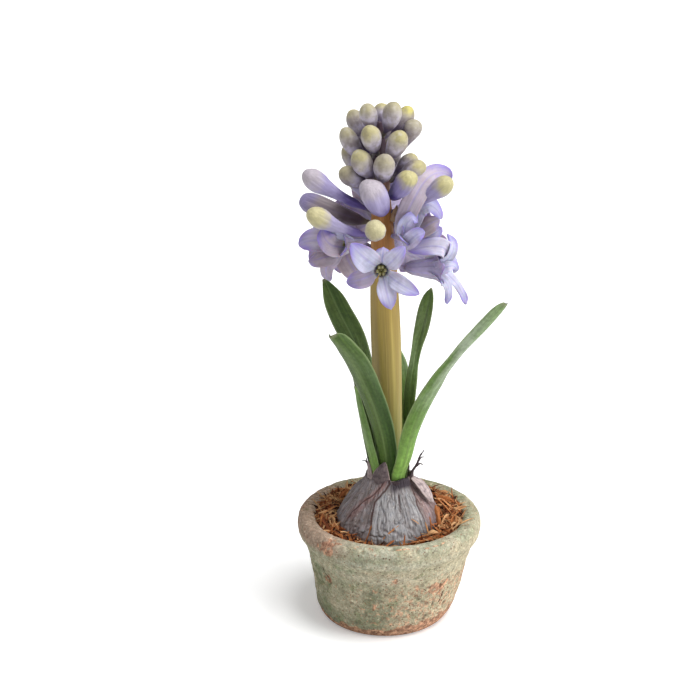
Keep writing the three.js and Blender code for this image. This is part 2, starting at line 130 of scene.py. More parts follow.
def ringShells(grids, marks, loop=False):
    # closed skins over rings of points, grids[skin, ring, point]. Each ring's last point joins
    # its first. The last ring joins the first if loop is true, or else a fan closes both ends.
    count, rows, columns = grids.shape[:3]
    index = np.arange(rows * columns).reshape(rows, columns)
    here, onward = (index, np.roll(index, -1, 0)) if loop else (index[:-1], index[1:])
    corners = [here, np.roll(here, -1, 1), np.roll(onward, -1, 1), onward]
    quads = np.stack(corners, -1).reshape(-1, 4)
    fans = np.zeros((0, 3), int)

    def spread(values):  # one value or point for each vertex, with the fans' middles at the end
        values = np.broadcast_to(values, grids.shape[:3] + values.shape[3:])
        ends = values[:, [0, -1]].mean(axis=2)
        flat = values.reshape(count, rows * columns, *values.shape[3:])
        return flat if loop else np.concatenate([flat, ends], axis=1)

    if not loop:
        first, last = index[0], index[-1]
        middle = np.full(columns, rows * columns)
        start = np.stack([middle, np.roll(first, -1), first], -1)
        end = np.stack([middle + 1, last, np.roll(last, -1)], -1)
        fans = np.concatenate([start, end])
    points = spread(grids)
    volume = 0
    for faces in (quads, fans):
        picked = points[:, faces]
        for i in range(1, faces.shape[1] - 1):
            normal = np.cross(picked[:, :, i], picked[:, :, i + 1])
            volume = volume + (picked[:, :, 0] * normal).sum(axis=(1, 2))
    start = (np.arange(count) * points.shape[1])[:, None, None]
    flip = (volume < 0)[:, None, None]
    quads, fans = (np.where(flip, f[:, ::-1], f) + start for f in (quads, fans))
    spreadMarks = {name: spread(value) for name, value in marks.items()}
    return {
        "points": points.reshape(-1, 3), "quads": quads.reshape(-1, 4), "fans": fans.reshape(-1, 3),
        "marks": {name: value.reshape(-1, *value.shape[2:]) for name, value in spreadMarks.items()},
    }


def oneShell(grid, marks, loop=False):  # the same for a single skin
    oneEach = {name: np.asarray(value, float)[None] for name, value in marks.items()}
    return ringShells(grid[None], oneEach, loop)


def buildPiece(name, shells, material, nodes=(), smooth=True):
    starts = np.cumsum([0] + [len(shell["points"]) for shell in shells])
    points = np.concatenate([shell["points"] for shell in shells]) * metres
    quads, fans = (
        np.concatenate([shell[kind] + start for shell, start in zip(shells, starts)])
        for kind in ("quads", "fans")
    )
    sizes = np.concatenate([np.full(len(quads), 4), np.full(len(fans), 3)])
    mesh = bpy.data.meshes.new(name)
    mesh.vertices.add(len(points))
    mesh.vertices.foreach_set("co", points.astype(np.float32).ravel())
    mesh.loops.add(int(sizes.sum()))
    mesh.loops.foreach_set("vertex_index", np.concatenate([quads.ravel(), fans.ravel()]))
    mesh.polygons.add(len(sizes))
    mesh.polygons.foreach_set("loop_start", np.concatenate([[0], np.cumsum(sizes)[:-1]]))
    mesh.polygons.foreach_set("use_smooth", np.full(len(sizes), smooth))
    mesh.update(calc_edges=True)
    for label in shells[0]["marks"]:
        values = np.concatenate([shell["marks"][label] for shell in shells]).astype(np.float32)
        kind, field = ("FLOAT_VECTOR", "vector") if values.ndim == 2 else ("FLOAT", "value")
        mesh.attributes.new(label, kind, "POINT").data.foreach_set(field, values.ravel())
    mesh.materials.append(material)
    piece = bpy.data.objects.new(name, mesh)
    bpy.context.scene.collection.objects.link(piece)
    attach(piece, "root")
    if nodes:
        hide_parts(*nodes)


# Shader helpers. Where one takes a value, a name stands for the mark that the mesh carries.

def srgb(text):  # a written colour as the shader's linear one
    parts = np.array([int(text[i : i + 2], 16) for i in (0, 2, 4)]) / 255
    linear = np.where(parts <= 0.04045, parts / 12.92, ((parts + 0.055) / 1.055) ** 2.4)
    return (*(float(part) for part in linear), 1.0)


def mark(tree, name):  # skin is a place, across the fibres in X and Y and along them in Z
    return addNode(tree, "Attribute", attribute_name=name).outputs["Vector" if name == "skin" else "Fac"]


def addNode(tree, kind, inputs=None, **settings):
    made = tree.nodes.new("ShaderNode" + kind)
    for name, value in settings.items():
        setattr(made, name, value)
    for name, value in (inputs or {}).items():
        value = mark(tree, value) if isinstance(value, str) else value
        if isinstance(value, bpy.types.NodeSocket):
            tree.links.new(value, made.inputs[name])
        else:
            made.inputs[name].default_value = value
    return made


def mix(tree, share, first, second, how="MIX"):
    colours = [srgb(c) if isinstance(c, str) else c for c in (first, second)]
    inputs = {0: share, 6: colours[0], 7: colours[1]}
    return addNode(tree, "Mix", inputs, data_type="RGBA", blend_type=how).outputs[2]


def maths(tree, operation, first, second=0.0, third=0.0):
    inputs = {0: first, 1: second, 2: third}
    return addNode(tree, "Math", inputs, operation=operation).outputs[0]


def times(tree, first, second):
    return maths(tree, "MULTIPLY", first, second)


def timesPlus(tree, first, second, third):  # first x second + third
    return maths(tree, "MULTIPLY_ADD", first, second, third)


def fade(tree, value, low, high):  # 0 at low, 1 at high, and an even S between
    inputs = {"Value": value, "From Min": low, "From Max": high}
    return addNode(tree, "MapRange", inputs, interpolation_type="SMOOTHSTEP").outputs[0]


def noise(tree, place, scale, detail=3.0):
    inputs = {"Vector": place, "Scale": scale, "Detail": detail, "Roughness": 0.55}
    return addNode(tree, "TexNoise", inputs).outputs[0]


def roughened(tree, value, rough, amount):  # the value, moved up and down by a noise
    return timesPlus(tree, maths(tree, "SUBTRACT", rough, 0.5), amount, value)


def shade(tree, colour, value, low, high):  # the colour times low to high, as value goes 0 to 1
    grey = addNode(tree, "MapRange", {"Value": value, "To Min": low, "To Max": high}).outputs[0]
    factor = addNode(tree, "CombineColor", {0: grey, 1: grey, 2: grey}).outputs[0]
    return mix(tree, 1.0, colour, factor, "MULTIPLY")


def coats(tree, colour, rows):  # each row lays a colour on top: where it lies, how strongly, which
    for mask, strength, tint in rows:
        colour = mix(tree, times(tree, mask, strength), colour, tint)
    return colour


def effect(name, inputs, output, build):  # a node group, as a function that is given its inputs
    group = bpy.data.node_groups.new(name, "ShaderNodeTree")
    for label, value in inputs.items():
        kind = "NodeSocketVector" if value is None else "NodeSocketFloat"
        socket = group.interface.new_socket(label, in_out="INPUT", socket_type=kind)
        if value is not None:
            socket.default_value = value
    group.interface.new_socket(output, in_out="OUTPUT", socket_type="NodeSocketFloat")
    enter = group.nodes.new("NodeGroupInput").outputs
    leave = group.nodes.new("NodeGroupOutput").inputs
    group.links.new(build(group, enter), leave[output])

    def use(tree, *values):
        return addNode(tree, "Group", dict(zip(inputs, values)), node_tree=group).outputs[0]

    return use


def fibreEffect(tree, given):  # noise drawn out along the fibres, with its contrast raised
    scales = {0: given["Across"], 1: given["Across"], 2: given["Along"]}
    squeezed = addNode(tree, "CombineXYZ", scales).outputs[0]
    factors = {0: given["Place"], 1: squeezed}
    place = addNode(tree, "VectorMath", factors, operation="MULTIPLY").outputs[0]
    low = maths(tree, "SUBTRACT", 0.5, given["Softness"])
    high = maths(tree, "ADD", 0.5, given["Softness"])
    return fade(tree, noise(tree, place, 1.0, 4.0), low, high)


def patchEffect(tree, given):  # a wanted amount, broken up at its edge by coarse and fine noise
    coarse = noise(tree, given["Place"], given["Scale"], 5.0)
    return fade(tree, roughened(tree, given["Amount"], coarse, given["Ragged"]), 0.42, 0.58)


def speckEffect(tree, given):  # round specks in some of the cells, each of its own size
    cells = addNode(tree, "TexVoronoi", {"Vector": given["Place"], "Scale": given["Scale"]})
    pick = addNode(tree, "SeparateColor", {0: cells.outputs["Color"]})
    size = timesPlus(tree, pick.outputs[1], 0.3, 0.1)
    inside = fade(tree, maths(tree, "SUBTRACT", size, cells.outputs["Distance"]), 0.0, 0.08)
    return times(tree, inside, maths(tree, "LESS_THAN", pick.outputs[0], given["Amount"]))


def grainEffect(tree, given):  # heights of a rough, faintly pitted surface
    coarse = noise(tree, given["Place"], given["Scale"], 5.0)
    fine = noise(tree, given["Place"], times(tree, given["Scale"], 4.3), 3.0)
    return timesPlus(tree, fine, given["Fine"], coarse)


fibreInputs = {"Place": None, "Across": 1.0, "Along": 0.1, "Softness": 0.2}
fibreMask = effect("fibres", fibreInputs, "Mask", fibreEffect)
patchInputs = {"Place": None, "Scale": 100.0, "Amount": 0.0, "Ragged": 0.8}
patchMask = effect("patches", patchInputs, "Mask", patchEffect)
speckMask = effect("specks", {"Place": None, "Scale": 600.0, "Amount": 0.1}, "Mask", speckEffect)
grainHeight = effect("grain", {"Place": None, "Scale": 300.0, "Fine": 0.5}, "Height", grainEffect)


def surface(tree, colour, roughness, specular, height, depth):  # bumps of a depth in millimetres
    normal = addNode(tree, "Bump", {"Height": height, "Distance": depth * metres}).outputs[0]
    return {"Base Color": colour, "Roughness": roughness, "Specular IOR Level": specular, "Normal": normal}


def makeMaterial(name, finish):
    material = bpy.data.materials.new(name)
    material.use_nodes = True
    tree = material.node_tree
    tree.nodes.clear()
    place = addNode(tree, "TexCoord").outputs["Object"]
    shader = addNode(tree, "BsdfPrincipled", finish(tree, place))
    addNode(tree, "OutputMaterial", {0: shader.outputs[0]})
    return material


# The pot: a profile turned about Z, whose base slides to one side

potLook = {
    "rimRadius": 55, "mouthRadius": 43.5, "rollMiddleZ": 57.5, "rollHeight": 6.5, "rollSquareness": 0.8,
    "foot": [(6, 0), (36, 0), (37.4, 0.3), (38.5, 1.2)],
    "outside": [(1.2, 38.5), (4.5, 40.4), (12, 42.6), (22, 44.8), (32, 46.8), (38, 48), (43, 49.5),
                (47, 51), (50, 52.4), (51.8, 53.9), (54.5, 54.8)],
    "inside": [(8, 33.5), (12, 36.5), (30, 40.3), (50, 43), (57.5, 43.5)],
    "holeRadius": 6, "floorZ": 8, "baseShift": -2.5, "shiftEndsZ": 24, "wallRadius": 47,
    "rows": 270, "columns": 350,
    "relief": [(0.5, 26, 1), (0.13, 3.1, 9), (0.12, 1.4, 10)],  # depth, cell and seed of a noise
    "rimFootZ": 47.6, "rimLineRadius": 51.8, "crackWidth": 0.55,
    "bareBandZ": 5.6, "bareBandRise": 4.6,
    # azimuths where a side begins, is full, is full for the last time, and ends. The lit side is painted
    # light: the wall there is made paler
    "lowRight": (-60, 40, 80, 140), "paintedLightSide": (-10, 50, 110, 170), "rosySide": (-175, -110, -60, -5),
    # azimuth, height, half width in degrees, half height, strength
    "mossSpots": [(-64, 29, 15, 12, 0.62), (20, 46, 25, 5, 0.35)],
    # painted highlights: pale cream on the front of the wall, and under the roll
    "highlightSpots": [(0, 43, 55, 4, 0.7), (0, 54, 55, 3.5, 0.8)],
    "chips": [
        (-15, 22.5, 4, 3, 0.5), (4, 42, 2.5, 2, 0.45), (30, 33, 11, 4.5, 0.6), (-43, 60, 7, 4.2, 0.6),
        (-52, 33, 4, 5, 0.5), (-30, 25, 3, 2, 0.4), (36, 17, 5, 3, 0.55), (12, 27, 3, 2, 0.4),
        (75, 30, 8, 6, 0.5), (140, 20, 12, 7, 0.55), (-100, 22, 9, 8, 0.5), (-150, 40, 10, 5, 0.5),
        (100, 58, 9, 5, 0.5), (-170, 60, 8, 5, 0.5),
    ],
    "cracks": [  # azimuth and height of each corner
        [(-55, 40), (-53, 36.5), (-50, 34.5), (-48.5, 31)],
        [(43.5, 27.5), (42, 24.5), (40.6, 20.6)],
        [(112, 44), (116, 36), (114, 29), (119, 21), (117, 15)],
        [(-128, 34), (-124, 27), (-126, 22)],
        [(168, 50), (171, 43), (169, 38)],
    ],
}


def potShift(z):
    return potLook["baseShift"] * np.clip(1 - z / potLook["shiftEndsZ"], 0, None)


def potProfile():
    look = potLook
    half = (look["rimRadius"] - look["mouthRadius"]) / 2
    z = np.linspace(look["outside"][0][0], look["outside"][-1][0], 90)
    outside = np.column_stack([smoothCurve(look["outside"], z), z])
    turn = np.radians(np.linspace(-22, 180, 60))
    over, up = (np.sign(way) * np.abs(way) ** look["rollSquareness"] for way in (np.cos(turn), np.sin(turn)))
    over, up = look["rimRadius"] - half + half * over, look["rollMiddleZ"] + look["rollHeight"] * up
    roll = np.column_stack([over, up])
    z = np.linspace(look["inside"][-1][0], look["inside"][0][0], 50)
    inside = np.column_stack([smoothCurve(look["inside"], z), z])
    hole = [(look["holeRadius"], look["floorZ"]), (look["holeRadius"], 0.4)]
    corners = np.concatenate([look["foot"], outside[1:], roll[1:], inside[1:], hole])
    return evenLine(corners, look["rows"], smooth=False)


def lineMark(azimuth, z, corners, width):
    # 1 on a line of straight stretches drawn on the wall, falling away over its width
    first, radius = corners[0][0], potLook["wallRadius"]
    reach = np.radians(wrapDegrees(azimuth - first)) * radius
    flat = [np.array([np.radians(a - first) * radius, height]) for a, height in corners]
    nearest = np.inf
    for start, end in zip(flat, flat[1:]):
        way = end - start
        over, up = reach - start[0], z - start[1]
        share = np.clip((over * way[0] + up * way[1]) / (way @ way), 0, 1)
        nearest = np.minimum(nearest, np.hypot(over - share * way[0], up - share * way[1]))
    return hump(nearest, width)


def wallSpot(azimuth, z, middle, height, wide, tall, strength):
    return strength * hump(wrapDegrees(azimuth - middle), wide) * hump(z - height, tall)


def makePot():
    # each point of the profile, turned about Z to its azimuth, is pushed along the profile's
    # normal by the relief: noises of several sizes, less the pits, cracks, chips and the rim's foot
    look = potLook
    profile = potProfile()
    way = unit(np.gradient(profile, axis=0))
    azimuth = np.linspace(-180, 180, look["columns"], endpoint=False)[None]
    r, z = profile[:, :1], profile[:, 1:] + 0 * azimuth
    base = onCircle(azimuth, r, z)
    normal = onCircle(azimuth, way[:, 1:], -way[:, :1])

    cracks = sum(lineMark(azimuth, z, line, look["crackWidth"]) for line in look["cracks"])
    cracks = np.clip(cracks, 0, 1) * (r > 38)
    uneven = roughNoise(base, 7, 3, 4)
    chips = np.zeros(z.shape)
    for a, height, wide, tall, strength in look["chips"]:
        gap = np.hypot(wrapDegrees(azimuth - a) / wide, (z - height) / tall) + 0.9 * uneven
        chips = np.maximum(chips, strength * smoothStep(1.5, 0.4, gap) * (r > 44))
    pits = smoothStep(0.36, 0.75, cellNoise(base, 2.3, 21))
    pits = pits + 0.8 * smoothStep(0.45, 0.8, cellNoise(base, 4, 22))
    lowRight = window(azimuth, *look["lowRight"]) * smoothStep(46, 30, z)
    relief = 0.16 * uneven + sum(shadedHalf * cellNoise(base, cell, seed) for shadedHalf, cell, seed in look["relief"])
    relief = relief - 0.5 * pits * (0.3 + 0.7 * lowRight) - 0.85 * cracks - 0.35 * chips
    relief = relief + 0.06 * np.sin(z * 0.9 + 2 * cellNoise(base, 30, 6)) * smoothStep(50, 40, z)
    relief = relief - 0.3 * hump(z - look["rimFootZ"] - 0.4 * uneven, 1.8) * (r > 48)
    grid = base + normal * (relief * smoothStep(0, 4, z))[..., None]
    grid[..., 0] += potShift(z)

    isInside = (np.arange(len(profile)) > np.argmax(profile[:, 1]))[:, None]
    bandTop = look["bareBandZ"] + look["bareBandRise"] * smoothStep(-10, 60, azimuth) + 2.6 * uneven
    behind = smoothStep(60, 100, np.abs(azimuth))
    rimLine = hump(r - look["rimLineRadius"] + 0.8 * uneven, 0.8) * (z > 60)
    rimLine = rimLine * smoothStep(80, 40, np.abs(azimuth))
    bare = np.maximum.reduce([
        1.1 * smoothStep(bandTop + 2.5, bandTop - 1.5, z), chips, 0.5 * rimLine,
        0.5 * behind * smoothStep(0.1, 0.6, cellNoise(base, 17, 31)),
    ])
    mossBehind = 0.6 * behind * smoothStep(0.2, 0.7, cellNoise(base, 20, 33))
    moss = np.maximum.reduce([mossBehind] + [wallSpot(azimuth, z, *row) for row in look["mossSpots"]])
    # painted highlight: pale cream on the front of the rim's top, and the highlight spots below it
    paintedHighlight = 0.9 * hump(azimuth, 55) * smoothStep(57, 62, z)
    paintedHighlight = paintedHighlight + sum(wallSpot(azimuth, z, *row) for row in look["highlightSpots"])
    marks = {
        "paintedHighlight": paintedHighlight, "bare": bare, "moss": moss, "crack": cracks,
        "pit": np.clip(pits, 0, 1) * (0.35 + 0.65 * lowRight),
        "rosy": window(azimuth, *look["rosySide"]) * smoothStep(49, 60, z),
        # painted light: the wall on the lit side is made paler, fading out over the rim
        "paintedSunlight": window(azimuth, *look["paintedLightSide"]) * smoothStep(64, 55, z),
        "worn": 0.18 + 0.28 * lowRight + 0.1 * behind, "inner": isInside * smoothStep(63, 58, z),
    }
    buildPiece("pot", [oneShell(grid, marks, loop=True)], clay, ["pot"])


def clayFinish(tree, place):
    middle = noise(tree, place, 120.0, 5.0)
    fine = noise(tree, place, 430.0, 5.0)
    rosy = timesPlus(tree, middle, 0.8, "rosy")
    dust = fade(tree, noise(tree, place, 1300.0, 2.0), 0.55, 0.68)
    specks = speckMask(tree, place, 640.0, times(tree, "worn", 1.5))
    terracotta = mix(tree, fade(tree, fine, 0.3, 0.7), "9f6c55", "d8a686")
    colour = mix(tree, fade(tree, noise(tree, place, 34.0, 4.0), 0.38, 0.62), "93957b", "b3ad93")
    colour = coats(tree, colour, [
        (fade(tree, middle, 0.48, 0.66), 0.7, "7d8a66"),
        (fade(tree, noise(tree, place, 75.0, 5.0), 0.5, 0.64), 0.45, "c2b396"),
        # painted light: paler on the wall's lit side
        ("paintedSunlight", 0.75, "d2c7a8"),
        # painted highlight: pale cream on the front
        (times(tree, "paintedHighlight", fade(tree, middle, 0.3, 0.6)), 0.75, "cbc8b5"),
        (fade(tree, rosy, 0.6, 1.3), 0.8, "ab9180"),
        (patchMask(tree, place, 430.0, 0.2, 1.7), 0.6, "d3ccb6"),
        (patchMask(tree, place, 240.0, 0.22, 1.7), 0.45, "7d8464"),
        (patchMask(tree, place, 260.0, "moss", 2.2), 0.6, "5d6842"),
        (patchMask(tree, place, 420.0, "worn", 1.8), 0.6, terracotta),
        (patchMask(tree, place, 360.0, "bare", 1.5), 0.8, terracotta),
        (times(tree, dust, maths(tree, "ADD", "worn", 0.15)), 1.2, "a0654a"),
        (specks, 0.7, "6d4a38"),
        ("pit", 0.6, "54483a"),
        (fade(tree, "crack", 0.2, 0.7), 0.9, "4a2d22"),
        ("inner", 0.6, "7a5f4c"),
    ])
    colour = shade(tree, colour, fade(tree, fine, 0.3, 0.7), 0.8, 1.24)
    colour = shade(tree, colour, fade(tree, noise(tree, place, 1000.0), 0.3, 0.7), 0.82, 1.2)
    height = timesPlus(tree, specks, -0.5, grainHeight(tree, place, 420.0, 0.6))
    return surface(tree, colour, 0.93, 0.2, height, 0.9)


clay = makeMaterial("agedClay", clayFinish)
makePot()
print("pot made")


# Soil and coir mulch: a lumpy ring under loose curved shreds

bulbWall = [  # height and radius of the bulb's outside
    (24, 9), (27, 15), (31, 21.5), (37, 26.8), (45, 30.4), (55, 31.7), (60, 31.3), (66, 28.8),
    (72, 24.9), (79, 19.6), (84, 15.6), (88.5, 13.8),
]
soilLook = {
    "topZ": 47, "gap": 0.3, "floorZ": 8.3, "floorRadius": 32.6, "outer": 42.3, "inner": 31.6,
    "middle": 0.4, "underBulbZ": 23.6, "rows": 110, "columns": 160,
}
mulchLook = {
    "bottomZ": 47.3, "topZ": 54.8, "rows": 60, "columns": 220,
    "outline": [(31.9, 47.3), (42.1, 47.3), (42.7, 53), (41.7, 54.3), (37.4, 54.8), (32.9, 54.6),
                (31.9, 53), (31.9, 47.8)],
    "surface": [(-180, 61.8), (-120, 62), (-80, 60.2), (-40, 57), (0, 54.6), (30, 56), (60, 60),
                (90, 62), (130, 62.4), (180, 61.8)],  # azimuth and height
    "wall": [(44, 42), (50, 42.8), (57.5, 43.3), (61, 44.2), (63.5, 47), (64.4, 52)],  # height, radius
    "shreds": 2600, "inner": 32.5, "spread": 10.2, "shortest": 3.5, "longest": 19, "heap": 3.2,
}
placedShreds = [  # the ends of strands that lie on the bulb or the rim, then width, bow up, tint
    ((-6.6, -32.2, 58.4), (4.8, -28.4, 67.6), 1.5, 0.12, 0.75),
    ((12.4, -24, 70), (17.2, -23.8, 66.2), 0.9, 0.1, 0.85),
    ((-14.6, -29.6, 56.5), (-10.4, -26.4, 67.6), 3.4, 0.15, 0.7),
    ((-13.2, -30.4, 56.8), (-8.6, -28.6, 61.5), 2.6, 0.1, 0.55),
    ((-24.5, -36.5, 58.5), (-20.2, -49.2, 63.6), 2.6, 0.3, 0.72),
    ((-22.4, -37.5, 59.5), (-17.8, -46.8, 63.9), 1.8, 0.25, 0.6),
    ((-26, -33, 60.5), (-21, -41.5, 62), 2.2, 0.1, 0.8),
    ((24.8, -20.8, 60), (23.4, -19.6, 69), 2.4, 0.1, 0.62),
    ((29.5, -17, 61), (27.5, -11, 72.5), 3.2, 0.1, 0.68),
    ((32.5, -10, 62), (29, -9, 71), 2.6, 0.12, 0.5),
    ((28.2, -4, 74), (37.5, -6.6, 64.5), 3, 0.1, 0.66),
    ((34, -13, 61.5), (40, -4, 66), 2.4, 0.2, 0.5),
    ((31.5, 4, 70), (38, -2, 66), 3, 0.2, 0.74),
    ((30, 12, 68), (40, 6, 66.5), 2.6, 0.2, 0.6),
    ((-31, 6, 64.5), (-38.5, -3, 63.5), 2.6, 0.2, 0.72),
    ((-30, 16, 64.5), (-24, 26, 66), 2.4, 0.2, 0.6),
    ((36.5, -20, 61.5), (49.8, -12.5, 65), 0.8, 0.2, 0.98),
    ((18, -31.5, 58.5), (31, -24.5, 60.5), 4, 0.1, 0.5),
    ((22.5, -26, 61), (20.5, -23.8, 67.5), 1.6, 0.1, 0.8),
    ((-34, -20, 60), (-41, -28, 63.6), 1.2, 0.2, 0.9),
    ((8, -33.5, 57.5), (22, -30.5, 59.5), 2.4, 0.15, 0.62),
    ((-4, -36.5, 57), (3, -31.4, 60.5), 1.6, 0.1, 0.5),
    ((-33.5, -8, 60), (-30, -22, 62), 2.4, 0.1, 0.68),
    ((30, 20, 60), (40, 12, 64), 2.2, 0.2, 0.6),
    ((-20, 34, 60), (-8, 38, 64), 2.4, 0.2, 0.7),
]


def turnedShell(outline, columns, lumps, cell, seed, slanted=False):
    # an outline of radii and heights turned about Z, with each point moved by noise
    skin = onCircle(np.linspace(0, 360, columns, endpoint=False), outline[:, :1], outline[:, 1:])
    bumps = np.stack([roughNoise(skin, cell, 3, seed + 7 * i) for i in range(3)], -1)
    grid = skin + lumps * bumps
    if slanted:
        grid[..., 0] += potShift(outline[:, 1:])
    return grid, {"skin": skin, "tint": 0.5 + 0.5 * roughNoise(skin, cell, 2, seed + 40)}


def makeSoil():
    look = soilLook
    top, floor, middle = look["topZ"], look["floorZ"], look["middle"]
    wall = [(r - look["gap"] - 0.5, z) for z, r in potLook["inside"] if z < top]
    cup = [(r + look["gap"] + 0.3, z - look["gap"]) for z, r in bulbWall if z < top][::-1]
    outline = [(middle, floor), (look["floorRadius"], floor), *wall[1:], (look["outer"], top),
               (look["inner"], top), *cup, (middle, look["underBulbZ"])]
    outline = evenLine(outline, look["rows"], smooth=False)
    grid, marks = turnedShell(outline, look["columns"], 0.22, 3.0, 50, slanted=True)
    buildPiece("potting_soil", [oneShell(grid, marks)], soil, ["potting_soil"])


def mulchTop(azimuth):
    return smoothCurve(mulchLook["surface"], azimuth)


def shredGrids(middle, heading, length, width, bows, turn, seed):
    # each shred is a flat bar carried along a bent line: the way along it, plus a bow to the
    # side and one upwards that both grow with the square of the distance, with a slow turn
    rng = np.random.default_rng(seed)
    rows, count = 7, len(length)
    s = np.linspace(-0.5, 0.5, rows)[None, :, None]
    side = unit(np.cross(heading, [0, 0, 1.0]) + 1e-6)
    up = np.cross(side, heading)
    reach = s * length[:, None, None]
    square = (4 * s**2 - 0.4) * length[:, None, None] / 4
    line = middle[:, None] + heading[:, None] * reach
    line = line + (side * bows[:, :1])[:, None] * square + (up * bows[:, 1:])[:, None] * square
    twist = turn[:, None, None] * (s + 0.5) + rng.uniform(-0.9, 0.9, (count, 1, 1))
    flat = np.cos(twist) * side[:, None] + np.sin(twist) * up[:, None]
    thick = np.cos(twist) * up[:, None] - np.sin(twist) * side[:, None]
    taper = (1 - np.abs(2 * s) ** 3 * 0.75) * rng.uniform(0.75, 1.15, (count, rows, 1))
    wide = width[:, None, None] / 2 * taper
    high = np.minimum(wide * 0.62, 0.42)
    corners = [flat * wide * a + thick * high * b for a, b in ((-1, -0.6), (0.1, -1), (1, 0.3), (-0.2, 1))]
    grid = np.stack([line + corner for corner in corners], 2)
    across = np.array([-1.0, 0, 1, 0]) * width[:, None, None]
    return grid, together(across, np.arange(count)[:, None, None] * 3.7, reach)


def keepBetween(grid, floorGap=0.35):
    # points stay between the bulb and the pot's inner wall and rim
    z = grid[..., 2]
    r = np.hypot(grid[..., 0], grid[..., 1])
    low = np.interp(z, *np.array(bulbWall).T) + floorGap
    high = np.interp(z, *np.array(mulchLook["wall"]).T) - floorGap
    grid[..., :2] *= (np.clip(r, low, np.maximum(high, low + 0.2)) / r)[..., None]
    return grid


def makeMulch():
    look = mulchLook
    rng = np.random.default_rng(11)
    low = look["bottomZ"]
    outline = evenLine(look["outline"], look["rows"], smooth=False)
    grid, marks = turnedShell(outline, look["columns"], 0.55, 2.4, 60)
    around = np.degrees(np.arctan2(grid[..., 0], -grid[..., 1]))
    stretched = (mulchTop(around) - 1.2 - low) / (look["topZ"] - low)
    grid[..., 2] = low + (grid[..., 2] - low) * stretched
    # painted shade: the bed under the loose shreds takes only the darkest browns, as the shade in the gaps
    # between them
    marks["tint"] = marks["tint"] * 0.25 - 0.1
    shells = [oneShell(grid, marks, loop=True)]

    count = look["shreds"]
    around = rng.uniform(-180, 180, count)
    r = look["inner"] + look["spread"] * rng.uniform(0, 1, count) ** 0.85
    lift = look["heap"] * rng.uniform(0, 1, count) ** 1.6
    z = mulchTop(around) - 1.0 + lift + rng.normal(0, 0.5, count)
    way = around + 90 + rng.normal(0, 48, count) + 180 * rng.integers(0, 2, count)
    pitch = np.radians(rng.normal(2, 15, count) + 30 * (rng.uniform(0, 1, count) > 0.93))
    heading = onCircle(way, np.cos(pitch), np.sin(pitch))
    length = np.clip(rng.lognormal(2.1, 0.5, count), look["shortest"], look["longest"])
    width = np.clip(rng.lognormal(0.15, 0.5, count), 0.45, 3.0)
    bows = rng.normal(0, 0.45, (count, 2))
    turn = rng.normal(0, 1.3, count)
    grid, skin = shredGrids(onCircle(around, r, z), heading, length, width, bows, turn, 12)
    # a shred's tint is partly random, and partly painted light and shade: lighter higher in the heap, darker
    # lower down
    tint = np.clip(rng.normal(0.49, 0.32, count) + 0.13 * (lift - 1.2), 0, 1)[:, None, None]
    shells.append(ringShells(keepBetween(grid), {"skin": skin, "tint": tint}))
    buildPiece("coir_mulch", shells, coir, ["coir_mulch"], smooth=False)


def makePlacedShreds():
    starts, ends = (np.array([row[i] for row in placedShreds], float) for i in (0, 1))
    width, bow, tint = np.array([row[2:] for row in placedShreds], float).T
    length = np.linalg.norm(ends - starts, axis=1)
    middle = (starts + ends) / 2 + np.outer(bow * length * 0.1, [0, 0, 1])
    bows = np.column_stack([0.1 * np.sin(7 * length), -bow])
    turn = 0.9 * np.cos(5 * length)
    grid, skin = shredGrids(middle, unit(ends - starts), length, width, bows, turn, 31)
    shell = ringShells(grid, {"skin": skin, "tint": tint[:, None, None]})
    buildPiece("coir_strands", [shell], coir, smooth=False)


def soilFinish(tree, place):
    colour = mix(tree, noise(tree, place, 420.0, 5.0), "1f150f", "4a3626")
    colour = mix(tree, speckMask(tree, place, 500.0, 0.12), colour, "8d8271")
    return surface(tree, colour, 0.96, 0.5, grainHeight(tree, place, 380.0, 0.6), 0.8)


def coirFinish(tree, place):
    fibres = fibreMask(tree, "skin", 1.6, 0.2, 0.22)
    colour = coats(tree, mix(tree, fade(tree, "tint", -0.05, 0.3), "2a150e", "7e4426"), [
        (fade(tree, "tint", 0.25, 0.65), 1, "b66f3e"),
        (fade(tree, "tint", 0.6, 1.0), 1, "dfae7c"),
    ])
    return surface(tree, shade(tree, colour, fibres, 0.62, 1.22), 0.85, 0.25, fibres, 0.25)


soil = makeMaterial("pottingSoil", soilFinish)
coir = makeMaterial("coirShreds", coirFinish)
makeSoil()
makeMulch()
makePlacedShreds()
print("soil and mulch made")


# The bulb: its outline turned about Z, raised where one layer of its coat overlaps the next

